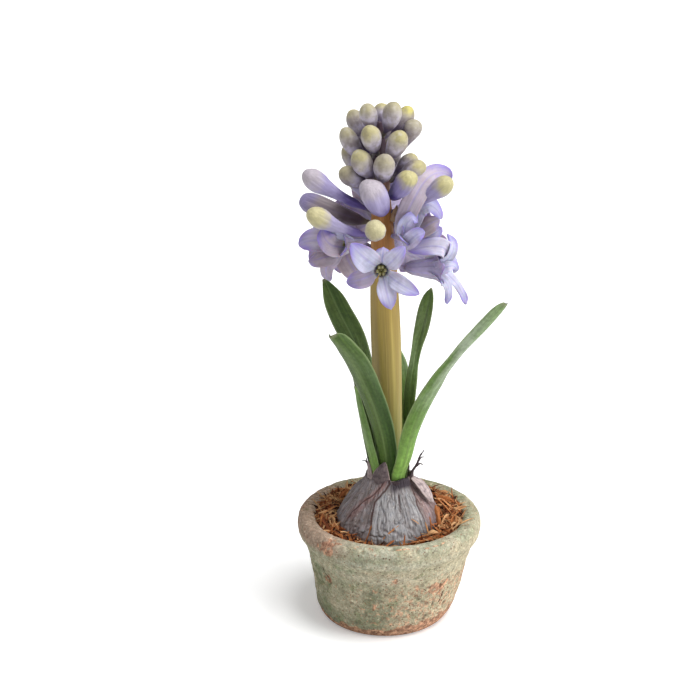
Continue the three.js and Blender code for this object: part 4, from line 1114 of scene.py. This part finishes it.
openFlorets = [
    # the axis as in the buds, where the petals part, the radius at the mouth, the petals' length and
    # half width, the angle that they open to, and what each of the six has of its own
    {"azimuth": -3, "footZ": 222, "rise": (0, 4), "length": 30, "tube": 29, "mouth": 3.9, "petal": 22,
     "open": 98, "roll": 0, "width": 5.6, "widths": (0.9, 0.95, 0.88, 0.95, 0.98, 1.28),
     "shares": (0.48, 0.95, 1.08, 0.93, 0.82, 1.14), "drift": (0, -1.5, 0, 1, 1.5, 1),
     "turns": (5, -16, -3, -19, 8, 14), "opens": (30, -6, 0, 2, 14, -14), "curl": 12, "blunt": 0.1,
     "blushAndShade": 0.1, "ownBlushAndShade": (0.3, 0, 0, 0, 1.3, 0)},
    {"azimuth": -66, "footZ": 232, "rise": (0, 6), "length": 25, "tube": 17, "mouth": 5.6, "petal": 24,
     "open": 50, "roll": 8, "width": 5, "shares": (0.25, 0.2, 0.2, 0.25, 0.3, 0.3), "blunt": 0.9,
     "blushAndShade": 0.7, "drawn": leftOnes},
    {"azimuth": 87, "footZ": 215.5, "rise": (-8, 10), "length": 26, "tube": 20, "mouth": 6.4, "waist": 3.6,
     "petal": 21, "open": 75, "roll": 20, "width": 7, "shares": 0.3, "blunt": 0.9, "blushAndShade": 0.2,
     "drawn": rightOnes},
    {"azimuth": 52, "footZ": 234, "rise": (10, 24), "length": 20, "tube": 9, "mouth": 4.6, "petal": 20,
     "open": 50, "roll": 10, "width": 5, "shares": (0.25, 0.2, 0.2, 0.2, 0.25, 0.3), "blunt": 0.9,
     "blushAndShade": 0.4, "drawn": frontOnes},
    {"azimuth": 101, "footZ": 239, "rise": (20, 40), "length": 21, "tube": 9, "mouth": 4.6, "petal": 21,
     "open": 70, "roll": 0, "width": 5, "shares": (0.3, 0.4, 0.5, 0.6, 0.4, 0.2),
     "drift": (0, 1, -1, 1, 2, 0), "blunt": 0.8, "blushAndShade": 0.6, "drawn": archedOne},
    {"azimuth": 150, "footZ": 221, "rise": (0, 4), "length": 27, "tube": 20, "mouth": 5, "petal": 24,
     "open": 92, "roll": 30, "width": 7, "shares": (1, 1.05, 0.95, 1, 1, 0.95),
     "drift": (1, -1, 0, 2, -1, 0), "blushAndShade": 0.2},
    {"azimuth": -138, "footZ": 224, "rise": (0, 6), "length": 27, "tube": 20, "mouth": 5, "petal": 23,
     "open": 88, "roll": 0, "width": 7, "shares": (1, 0.95, 1.05, 1, 0.95, 1),
     "drift": (0, 1, -1, 1, 0, -2), "blushAndShade": 0.4},
    {"azimuth": 188, "footZ": 236, "rise": (5, 12), "length": 25, "tube": 18, "mouth": 5, "petal": 22,
     "open": 76, "roll": 30, "width": 7, "shares": (0.9, 1, 1, 1, 1, 0.9), "drift": (1, 0, -1, 1, 2, -1),
     "blushAndShade": 0.6},
]


def stemMiddle(z):
    return stemLook["rootX"] + stemLook["lean"] * np.clip(z - stemLook["leanStartsZ"], 0, None)


def stemRadius(z):
    return smoothCurve(stemProfile, np.asarray(z, float))


def footList():
    feet = [(bud[0], bud[1]) for bud in tightBuds + longBuds]
    return feet + [(floret["azimuth"], floret["footZ"]) for floret in openFlorets]


def makeStem():
    # round a middle that leans, each point's radius is the profile's, plus seven shallow ribs,
    # noise drawn out along Z, and a bump that falls away round each stalk's foot
    look = stemLook
    z = np.linspace(stemProfile[0][0], stemProfile[-1][0], look["rows"])[:, None]
    azimuth = np.linspace(-180, 180, look["columns"], endpoint=False)[None]
    around = onCircle(azimuth, look["fibreRadius"], z)
    radius = stemRadius(z[:, 0])[:, None] + 0.1 * np.cos(7 * np.radians(azimuth) + 0.02 * z)
    radius = radius + 0.16 * cellNoise(around, [3, 3, 40], 91)
    swell = np.zeros(radius.shape)
    for footAzimuth, footZ in footList():
        gap = np.hypot(np.radians(wrapDegrees(azimuth - footAzimuth)) * radius, (z - footZ) * 0.8)
        swell = np.maximum(swell, hump(gap, look["footReach"]))
    grid = onCircle(azimuth, radius + look["footBump"] * swell, z)
    grid[..., 0] += stemMiddle(z)
    marks = {"skin": around, "along": (z - 84) / 213, "scar": swell}
    buildPiece("stem", [oneShell(grid, marks)], stemSkin, ["stem"])


def stemFinish(tree, place):
    stripes = fibreMask(tree, "skin", 0.3, 0.008, 0.16)
    fine = fibreMask(tree, "skin", 1.0, 0.02, 0.22)
    colour = coats(tree, mix(tree, fade(tree, "along", 0.0, 0.34), "6f8040", "a5944f"), [
        (fade(tree, "along", 0.3, 0.56), 1, "ae9449"),
        (fade(tree, "along", 0.56, 0.7), 1, "b5763a"),
        (stripes, 0.36, "8a6f36"),
        (fade(tree, stripes, 0.3, 0.0), 0.25, "c9b36a"),
        (fade(tree, "along", 0.78, 0.88), 1, "55404c"),
        (fade(tree, "scar", 0.3, 0.9), 0.45, "7a5a58"),
    ])
    height = timesPlus(tree, fine, 0.5, stripes)
    return surface(tree, shade(tree, colour, fine, 0.87, 1.12), 0.46, 0.4, height, 0.12)


stemSkin = makeMaterial("stemSkin", stemFinish)
makeStem()
print("stem made")


# Buds and florets stand on an axis that leaves the stem and bends evenly over their length

def onAxis(floret, distance, aside, above):
    # the axis' angle above level goes evenly from its start to its end, so the axis is an arc:
    # outwards it reaches (sin here - sin start) / bend and upwards (cos start - cos here) / bend,
    # and beyond its length it runs on straight
    start, end = (math.radians(angle) for angle in floret["rise"])
    bend = (end - start) / floret["length"]
    bent = np.minimum(distance, floret["length"])
    here = start + bend * bent
    straight = distance - bent
    over = (np.sin(here) - math.sin(start)) / bend + straight * np.cos(here)
    up = (math.cos(start) - np.cos(here)) / bend + straight * np.sin(here)
    foot = stemRadius(floret["footZ"]) + 0.3 + stalkRadius * abs(math.sin(start))
    out = foot + over - above * np.sin(here)
    azimuth = math.radians(floret["azimuth"])
    x = stemMiddle(floret["footZ"]) + out * math.sin(azimuth) + aside * math.cos(azimuth)
    y = -out * math.cos(azimuth) + aside * math.sin(azimuth)
    return np.stack([x, y, floret["footZ"] + up + above * np.cos(here)], -1)


budOutlines = {  # share of the length, and radius as a share of the half width
    "tight": [(0.1, 0.25), (0.2, 0.4), (0.34, 0.68), (0.5, 0.9), (0.66, 1), (0.8, 0.93), (0.91, 0.69),
              (0.98, 0.36), (1, 0.02)],
    "fat": [(0.1, 0.3), (0.2, 0.55), (0.32, 0.7), (0.46, 0.86), (0.62, 0.99), (0.78, 1), (0.9, 0.84),
            (0.97, 0.52), (1, 0.03)],
    "long": [(0.15, 0.26), (0.25, 0.44), (0.36, 0.46), (0.5, 0.53), (0.66, 0.76), (0.8, 1), (0.9, 0.9),
             (0.97, 0.52), (1, 0.03)],
}
longNeckedBuds, fatBuds = (9,), (1, 2, 5)


def budShell(row, outline, seed):
    # rings round the axis, drawn in along the six lines where the petals meet
    azimuth, footZ, startRise, endRise, length, width, ripe = row[:7]
    violet = row[7] if len(row) > 7 else 0.35
    aside = row[8] if len(row) > 8 else 0.0
    bud = {"azimuth": azimuth, "footZ": footZ, "rise": (startRise, endRise), "length": length}
    stalk = [(-1.6, stalkRadius), (0, stalkRadius), (0.06 * length, stalkRadius)]
    body = [(share * length, wide * width / 2) for share, wide in budOutlines[outline]]
    profile = evenLine(stalk + body, 54)
    distance, radius = profile[:, :1], np.maximum(profile[:, 1:], 0.03)
    turn = np.linspace(0, 2 * np.pi, 42, endpoint=False)[None]
    share = distance / length
    groove = hump(np.abs((turn * 3 / np.pi + seed * 0.37) % 1 - 0.5) - 0.5, 0.13)
    groove = groove * window(share, 0.12, 0.3, 0.8, 1)
    isOuter = np.cos(3 * turn + seed * 0.37 * np.pi) * (1 + 2.5 * (outline == "fat"))
    place = together(radius * np.cos(turn), radius * np.sin(turn), distance)
    body = smoothStep(0.1, 0.4, share)
    rough = 0.035 * cellNoise(place + seed * 13, 4.5, seed) + 0.02 * isOuter * body
    radius = radius * (1 - 0.04 * groove + rough * body)
    shift = aside * (0.9 - share) * smoothStep(0, 0.3, share)
    grid = onAxis(bud, distance + 0 * turn, radius * np.sin(turn) + shift, radius * np.cos(turn))
    skin = together(radius * np.cos(turn) + seed * 17, radius * np.sin(turn), distance)
    return oneShell(grid, {"skin": skin, "along": share, "seam": groove, "ripe": ripe, "violet": violet})


def budFinish(tree, place):
    mottle, cloud = noise(tree, place, 240.0, 4.0), noise(tree, place, 105.0)
    edge = roughened(tree, "along", cloud, 0.7)
    base = mix(tree, "violet", "6d5f7d", "54446f")
    body = mix(tree, fade(tree, cloud, 0.42, 0.58), "9b9192", "c6bfd6")
    tip = mix(tree, fade(tree, "ripe", -0.2, 1.0), "aaa28a", "c9bf63")
    colour = coats(tree, mix(tree, fade(tree, edge, 0.25, 0.68), base, body), [
        (fade(tree, edge, 0.6, 0.98), 1, tip),
        (fade(tree, "along", 0.16, 0.06), 0.7, "6f6a48"),
        (patchMask(tree, place, 300.0, 0.3, 1.6), 0.3, "8d8566"),
        ("seam", 0.14, "6f6464"),
        (fade(tree, mottle, 0.5, 0.7), 0.5, "8a8170"),
        (fade(tree, mottle, 0.46, 0.3), 0.35, "cbc5c4"),
    ])
    height = grainHeight(tree, place, 500.0, 0.5)
    return {**surface(tree, colour, 0.5, 0.4, height, 0.35), "Sheen Weight": 0.1}


def longBudFinish(tree, place):
    fibres = fibreMask(tree, "skin", 0.7, 0.04, 0.22)
    edge = roughened(tree, "along", noise(tree, place, 110.0), 0.4)
    wilted = fade(tree, "ripe", 0.0, -1.0)
    base = mix(tree, wilted, mix(tree, "violet", "8878b4", "42327a"), "57464f")
    body = mix(tree, wilted, mix(tree, "violet", "c0b9d6", "948ab8"), "988b90")
    tip = mix(tree, fade(tree, "ripe", 0.0, 0.7), mix(tree, "violet", "c3bbb6", "a99fb3"), "c0b884")
    tip = mix(tree, wilted, tip, "8a80a8")
    colour = coats(tree, mix(tree, fade(tree, edge, 0.28, 0.62), base, body), [
        (fade(tree, edge, 0.68, 0.92), 1, tip),
        (fade(tree, "along", 0.14, 0.05), 0.6, "7d7250"),
        ("seam", 0.12, "7062a0"),
    ])
    colour = shade(tree, colour, fibres, 0.86, 1.08)
    return {**surface(tree, colour, 0.5, 0.4, fibres, 0.15), "Sheen Weight": 0.1}


budSkin = makeMaterial("tightBud", budFinish)
longBudSkin = makeMaterial("longBud", longBudFinish)
for number, row in enumerate(tightBuds, 1):
    outline = "long" if number in longNeckedBuds else "tight"
    buildPiece(f"bud_{number}", [budShell(row, outline, number)], budSkin, [f"bud_{number}"])
for number, row in enumerate(longBuds, 1):
    name, outline = f"long_bud_{number}", "fat" if number in fatBuds else "long"
    buildPiece(name, [budShell(row, outline, number + 49)], longBudSkin, [name])
print("buds made")


# Open florets: six petals that overlap into a tube, part at its mouth and curve back, and the
# stamens that stand in it

tubeLook = {
    "petalStart": 0.2, "waist": 2.2, "wrap": 0.68, "leaveAngle": 20, "thickness": 0.75,
    "stalk": [(-0.06, 1.3), (0.08, 1.3), (0.16, 1.4)],
    "shareOfAll": 0.36,  # how much of a petal's colours, from foot to tip, the tube takes
}
# share of the free part's length, and half width as a share of the widest
bluntShape = [(0, 0.34), (0.12, 0.56), (0.28, 0.86), (0.44, 1), (0.6, 1), (0.75, 0.93), (0.87, 0.74),
              (0.95, 0.5), (1, 0.14)]
petalShape = [(0, 0.34), (0.12, 0.56), (0.28, 0.86), (0.44, 1), (0.6, 0.96), (0.75, 0.77), (0.87, 0.5),
              (0.95, 0.27), (1, 0.05)]


def tubeRadius(floret, share):
    # the waist radius, and from under half way the mouth's extra on top of it, by an even S
    waist = floret.get("waist", tubeLook["waist"])
    narrow = smoothStep(0.16, 0.46, share) * (waist - 1.5) + 1.5
    return narrow + (floret["mouth"] - waist) * smoothStep(0.35, 1.25, share) / smoothStep(0.35, 1.25, 1)


def petalWidth(share, blunt):
    return (1 - blunt) * smoothCurve(petalShape, share) + blunt * smoothCurve(bluntShape, share)


def petalWave(across, place, seed, fine):  # long waves that grow to the edges, and fine ones all over
    broad = across**2 * cellNoise(place, [30.0, 5.0, 1.0], seed)
    return broad, fine * cellNoise(place, [4.0, 6.0, 1.0], seed + 1)


def petalShells(floret, seed):
    # each petal's middle line runs up the tube wall, leaves it at a small angle to the axis, and
    # bends evenly to its open angle. It is worked out as distance along the axis and radius from
    # it, for six petals at once, and then set on the axis
    look = tubeLook
    rng = np.random.default_rng(seed)
    tubeRows, freeRows, columns = 14, 34, 13
    length, six = floret["tube"], np.arange(6)
    turns = np.radians(floret["roll"] + 60 * six + np.array(floret.get("turns", rng.normal(0, 3, 6))))
    opens = (floret["open"] + np.array(floret.get("opens", rng.normal(0, 7, 6))))[:, None]
    long = floret["petal"] * np.broadcast_to(floret["shares"], 6)
    free = (np.arange(freeRows) + 1) / freeRows
    bends = rng.uniform(0.85, 1.2, 6)[:, None]
    curl = floret.get("curl", 25) * smoothStep(0.55, 1, free)
    angle = np.radians(look["leaveAngle"] + (opens - look["leaveAngle"]) * free**bends + curl)
    step = long[:, None] / freeRows
    tubeShare = np.linspace(look["petalStart"], 1, tubeRows)
    layer = np.where(six % 2 == 0, 0.3, -0.1)[:, None]
    beyond = length + np.cumsum(np.cos(angle) * step, 1)
    distance = np.concatenate([tubeShare * length + 0 * layer, beyond], 1)
    wall = tubeRadius(floret, tubeShare) + layer
    radius = np.concatenate([wall, wall[:, -1:] + np.cumsum(np.sin(angle) * step, 1)], 1)
    share = np.concatenate([0 * tubeShare, free])[None] + 0 * radius

    heading = unit(np.stack([np.gradient(distance, axis=1), np.gradient(radius, axis=1)], -1))
    outAside, outAbove = np.sin(turns)[:, None], np.cos(turns)[:, None]
    side = together(0 * radius, outAbove, -outAside)
    face = together(heading[..., 1], -heading[..., 0] * outAside, -heading[..., 0] * outAbove)
    drift = np.broadcast_to(floret.get("drift", 0), 6)[:, None] * share**2
    line = together(distance, radius * outAside, radius * outAbove) + side * drift[..., None]
    twist = np.radians(rng.normal(0, 16, (6, 1)) * share**1.3)[..., None]
    side, face = turned(side, face, twist)

    wide = floret["width"] * np.array(floret.get("widths", rng.uniform(0.93, 1.07, 6)))[:, None]
    shape = petalWidth(share, floret.get("blunt", 0.3))
    inTube = radius * look["wrap"]
    blend = smoothStep(0, 0.16, share)
    width = np.where(share == 0, inTube, inTube * (1 - blend) + wide * shape * blend)
    flat = rng.uniform(0.03, 0.11, (6, 1)) * smoothStep(0.1, 0.4, share)
    curve = (1 - smoothStep(0, 0.35, share)) / np.maximum(radius, 1.5) * (share < 0.4) + flat
    curve = np.where(share == 0, 1 / radius, np.minimum(curve, 1 / 2.6))
    across = np.linspace(-1, 1, columns)
    reach = across * width[..., None]
    steps = np.diff(line[..., :2], axis=1, prepend=line[:, :1, :2])
    along = np.cumsum(np.hypot(steps[..., 0], steps[..., 1]), 1)
    place = together(reach, along[..., None], six[:, None, None] * 31.0 + seed)
    wave = 0.9 * smoothStep(0.15, 0.5, share)[..., None] * sum(petalWave(across, place, seed, 0.25))
    thickness = look["thickness"] * (1 - 0.45 * smoothStep(0.2, 1, share))
    rib = 0.16 * (1 - share[..., None] * 0.7)
    rings = bladeRings(line, side, face, width, curve, thickness, across, rib, wave)
    grid = onAxis(floret, rings[..., 0], rings[..., 1], rings[..., 2])
    fromFoot = np.concatenate([look["shareOfAll"] * tubeShare, freeShare(free)])[None] + 0 * radius
    marks = bladeMarks(reach, across, along, fromFoot, seed * 5.0)
    # each petal's own blush; a high one, such as 1.3, paints shade on a petal that stands in shadow
    own = np.array(floret.get("ownBlushAndShade", 0.3 * rng.uniform(-1, 1, 6)))[:, None, None]
    return ringShells(grid, {**marks, "blushAndShade": floret["blushAndShade"] + own})


def freeShare(share):  # the free part's share of a petal, as a share of all of it
    return tubeLook["shareOfAll"] + (1 - tubeLook["shareOfAll"]) * share


def drawnPetalShell(row, seed):
    # a blade along a line of its own, whose side goes square to the line and to where it faces
    path, width, facing, hollow, blushAndShade = row
    rows, across = 44, np.linspace(-1, 1, 13)
    line = evenLine(path, rows)
    heading = unit(np.gradient(line, axis=0))
    share = np.linspace(0, 1, rows)
    shares = np.linspace(0, 1, len(facing))
    facing = np.stack([np.interp(share, shares, axis) for axis in np.array(facing, float).T], -1)
    side = unit(np.cross(facing, heading))
    face = np.cross(heading, side)
    width = smoothCurve(width, share) if isinstance(width, list) else width * petalWidth(share, 0.7)
    reach = across * width[:, None]
    distance = share * np.linalg.norm(np.diff(line, axis=0), axis=1).sum()
    broad, fine = petalWave(across, together(reach, distance[:, None], seed * 7.3), seed, 0.3)
    wave = (broad * 0.9 + fine) * smoothStep(0, 0.3, share)[:, None]
    thickness = tubeLook["thickness"] * (1 - 0.45 * share)
    curve = hollow * (1 + 1.5 * smoothStep(0.25, 0, share))
    rings = bladeRings(line, side, face, width, curve, thickness, across, 0.12, wave)
    marks = bladeMarks(reach, across, distance, freeShare(share), seed * 3.0)
    return oneShell(rings, {**marks, "blushAndShade": blushAndShade})


def tubeShell(floret, seed):
    # the ovary and the wall behind the petals, up the outside and back down into the throat
    up = np.linspace(0.26, 0.94, 12)
    outside = np.column_stack([up, tubeRadius(floret, up) - 0.35])
    throat = np.column_stack([up[::-1], tubeRadius(floret, up[::-1]) - 0.8])
    profile = np.concatenate([tubeLook["stalk"], outside, throat])
    rows = evenLine(profile * [floret["tube"], 1], 44, smooth=False)
    turn = np.linspace(0, 2 * np.pi, 24, endpoint=False)[None]
    distance, radius = rows[:, :1] + 0 * turn, rows[:, 1:] * (1 + 0.04 * np.cos(6 * turn + 1))
    grid = onAxis(floret, distance, radius * np.sin(turn), radius * np.cos(turn))
    skin = together(2.5 * np.cos(turn) + seed * 9, 2.5 * np.sin(turn), distance)
    along = distance / floret["tube"] * tubeLook["shareOfAll"]
    return oneShell(grid, {"skin": skin, "along": along, "across": 0.4, "inner": 0, "blushAndShade": floret["blushAndShade"]})


def stamenShell(floret, seed):
    # six two-lobed anthers on thin filaments round a style: round sections along the axis whose
    # radius goes as the root of a circle over the anther, and is thin below it
    rng = np.random.default_rng(seed)
    rows, columns, count = 26, 12, 7
    share = np.linspace(0, 1, rows)[None, :, None]
    turn = np.linspace(0, 2 * np.pi, columns, endpoint=False)
    isStyle = (np.arange(count) == 6)[:, None, None]
    start = 0.45 * floret["tube"]
    end = floret["tube"] + np.where(isStyle, 0.2, rng.uniform(1.2, 2.4, (count, 1, 1)))
    distance = start + (end - start) * share
    fromTip = end - distance
    anther = np.sqrt(np.clip(1 - ((fromTip - 1.9) / 1.9) ** 2, 0, 1))
    lobes = 0.84 + 0.22 * np.abs(np.cos(turn))
    radius = np.where(isStyle, 0.55 + 0.3 * smoothStep(1.5, 0.3, fromTip), 0.28 + 0.85 * anther * lobes)
    radius = radius * smoothStep(-0.02, 0.12, fromTip / 3) + 0.02
    place = np.radians(60 * np.arange(count) + 25 + rng.normal(0, 6, count))[:, None, None]
    lean = np.where(isStyle, 0, 1.0 + 1.2 * share**2)
    aside = lean * np.sin(place) + radius * np.sin(turn)
    above = lean * np.cos(place) + radius * np.cos(turn)
    grid = onAxis(floret, distance + 0 * turn, aside, above)
    return ringShells(grid, {"along": anther, "across": np.abs(np.cos(turn))})


def petalFinish(tree, place):
    veins = fibreMask(tree, "skin", 0.75, 0.04, 0.22)
    cloud = noise(tree, "skin", 0.2)
    rim = timesPlus(tree, fade(tree, "along", 0.6, 1.0), 0.75, times(tree, "across", 0.42))
    rim = roughened(tree, rim, cloud, 0.5)
    # the blush mark tints a petal pinker; set higher on the petals that stand in shadow, it also paints shade
    # on them: a mottled darker mauve from 0.4 up
    mottledShade = times(tree, fade(tree, "blushAndShade", 0.4, 0.9), fade(tree, cloud, 0.42, 0.62))
    frontFace = coats(tree, mix(tree, fade(tree, "blushAndShade", 0.2, 1.0), "cbcbe4", "cbbfcd"), [
        (mottledShade, 0.6, "a3959f"),
        # painted shade: mauve-grey on the petals whose blush runs past 1.05
        (fade(tree, "blushAndShade", 1.05, 1.4), 0.75, "8e84a0"),
        (fade(tree, rim, 0.4, 1.15), 1, "8f84cf"),
        (fade(tree, "along", 0.5, 0.34), 1, "c9cbd2"),
    ])
    backFace = coats(tree, mix(tree, fade(tree, "blushAndShade", 0.2, 0.9), "b3a9cb", "ada0aa"), [
        (fade(tree, rim, 0.6, 1.25), 1, "8f84c2"),
        (fade(tree, "along", 0.22, 0.08), 1, "9d92b8"),
    ])
    colour = mix(tree, "inner", backFace, frontFace)
    colour = coats(tree, colour, [(fade(tree, "across", 0.16, 0.02), 0.4, "9489cf")])
    colour = shade(tree, colour, veins, 0.88, 1.05)
    colour = shade(tree, colour, fade(tree, cloud, 0.35, 0.65), 0.86, 1.06)
    return {**surface(tree, colour, 0.52, 0.35, veins, 0.12), "Sheen Weight": 0.2,
            "Subsurface Weight": 0.12, "Subsurface Scale": 0.002}


def stamenFinish(tree, place):
    grains = speckMask(tree, place, 2600.0, 0.6)
    colour = coats(tree, mix(tree, "along", "b8b58c", "857d38"), [
        (fade(tree, "across", 0.45, 0.0), 0.75, "3f3a22"),
        (grains, 0.6, "c9bf72"),
    ])
    return surface(tree, colour, 0.7, 0.5, grains, 0.1)


petalSkin = makeMaterial("petalSkin", petalFinish)
antherSkin = makeMaterial("antherSkin", stamenFinish)
for number, floret in enumerate(openFlorets):
    shells = [petalShells(floret, 200 + number), tubeShell(floret, number)]
    shells += [drawnPetalShell(row, 10 * number + i) for i, row in enumerate(floret.get("drawn", []))]
    name, inside = f"floret_{number + 1}", f"stamens_{number + 1}"
    buildPiece(name, shells, petalSkin, [name])
    buildPiece(inside, [stamenShell(floret, 300 + number)], antherSkin, [inside])
print("florets made")


# Small dry bracts, one under each stalk, and a longer one that stands on the stem's front

bractCommon = {"rib": 0.05, "thickness": 0.35, "wave": 0.2, "channel": 0.3, "shade": 0, "dusty": 0}
smallBract = {"path": [(-1.6, -0.3), (-1.0, 0.9), (0.3, 1.7)], "width": [(0, 1.5), (0.5, 1.3), (1, 0.2)]}
longBract = {
    "path": [(0.9, -6, 242.5), (1.6, -6.9, 246.5), (2, -7.4, 249.5), (2.4, -7.6, 252.5)],
    "width": [(0, 2), (0.5, 1.9), (0.8, 1.1), (1, 0.2)], "turn": (14, 14),
    "rib": 0.1, "thickness": 0.7, "wave": 1.6,
}


def makeBracts():
    shells = []
    for number, (azimuth, footZ) in enumerate(footList()):
        size = 1.0 + 0.3 * math.sin(number * 2.4)
        up, over = np.array(smallBract["path"] + [(1.6 * size, 2.1 * size)]).T
        points = onCircle(azimuth, stemRadius(footZ) + over, footZ + up)
        points[:, 0] += stemMiddle(footZ)
        look = {**bractCommon, "path": points, "width": smallBract["width"], "turn": (azimuth, azimuth)}
        shells.append(bladeShell(look, 8, 5, number + 60))
    shells.append(bladeShell({**bractCommon, **longBract}, 14, 7, 59))
    buildPiece("bracts", shells, bractSkin)


def bractFinish(tree, place):
    fibres = fibreMask(tree, "skin", 1.8, 0.2, 0.22)
    colour = mix(tree, noise(tree, place, 260.0), "8a6a52", "c6a678")
    return surface(tree, shade(tree, colour, fibres, 0.74, 1.16), 0.6, 0.5, fibres, 0.2)


bractSkin = makeMaterial("bractSkin", bractFinish)
makeBracts()
print("bracts made")


# Floor, light and camera

stageLook = {  # distances in metres here, and the lens and its sensor in millimetres
    "floorReach": 40, "place": (-0.0233, -0.737, 0.415), "tilt": 71.3, "sensor": 36, "lens": 69.43,
    "skyLight": 0.37, "skySeen": 0.65, "floorGlow": 0.27,
    # the azimuth and elevation that a light comes from, its strength, and the angle that it covers
    "suns": {"key": (60, 75, 2.45, 30), "fill": (72, 20, 2.1, 60)},
}


def paperFinish(tree, place):  # pale to the camera, and duller in the light that it throws back
    seen = addNode(tree, "LightPath").outputs["Is Camera Ray"]
    colour = mix(tree, seen, (0.8, 0.8, 0.8, 1.0), (0.9, 0.9, 0.9, 1.0))
    glow = times(tree, seen, stageLook["floorGlow"])
    return {"Base Color": colour, "Roughness": 0.9, "Specular IOR Level": 0.1,
            "Emission Color": (1.0, 1.0, 1.0, 1.0), "Emission Strength": glow}


def inScene(name, data):
    made = bpy.data.objects.new(name, data)
    bpy.context.scene.collection.objects.link(made)
    return made


def makeFloor():
    reach = stageLook["floorReach"]
    mesh = bpy.data.meshes.new("floor")
    corners = [(-reach, -reach, 0), (reach, -reach, 0), (reach, reach, 0), (-reach, reach, 0)]
    mesh.from_pydata(corners, [], [(0, 1, 2, 3)])
    mesh.materials.append(makeMaterial("palePaper", paperFinish))
    floor = inScene("floor", mesh)


def makeSky():  # white to the camera, and a soft light all round
    world = bpy.data.worlds.new("studio")
    world.use_nodes = True
    tree = world.node_tree
    sky = tree.nodes["Background"]
    sky.inputs[0].default_value = (1, 1, 1, 1)
    seen = addNode(tree, "LightPath").outputs["Is Camera Ray"]
    tree.links.new(timesPlus(tree, seen, stageLook["skySeen"], stageLook["skyLight"]), sky.inputs[1])
    bpy.context.scene.world = world


def makeStage():
    look = stageLook
    makeFloor()
    makeSky()
    for name, (azimuth, elevation, strength, softness) in look["suns"].items():
        sun = bpy.data.lights.new(name, "SUN")
        sun.energy, sun.angle = strength, math.radians(softness)
        inScene(name, sun).rotation_euler = (math.radians(90 - elevation), 0, math.radians(azimuth))
    lens = bpy.data.cameras.new("camera")
    lens.sensor_width, lens.lens = look["sensor"], look["lens"]
    camera = inScene("camera", lens)
    camera.location = look["place"]
    camera.rotation_euler = (math.radians(look["tilt"]), 0, 0)
    bpy.context.scene.camera = camera
    bpy.context.scene.view_settings.view_transform = "Standard"


makeStage()
print("stage made")
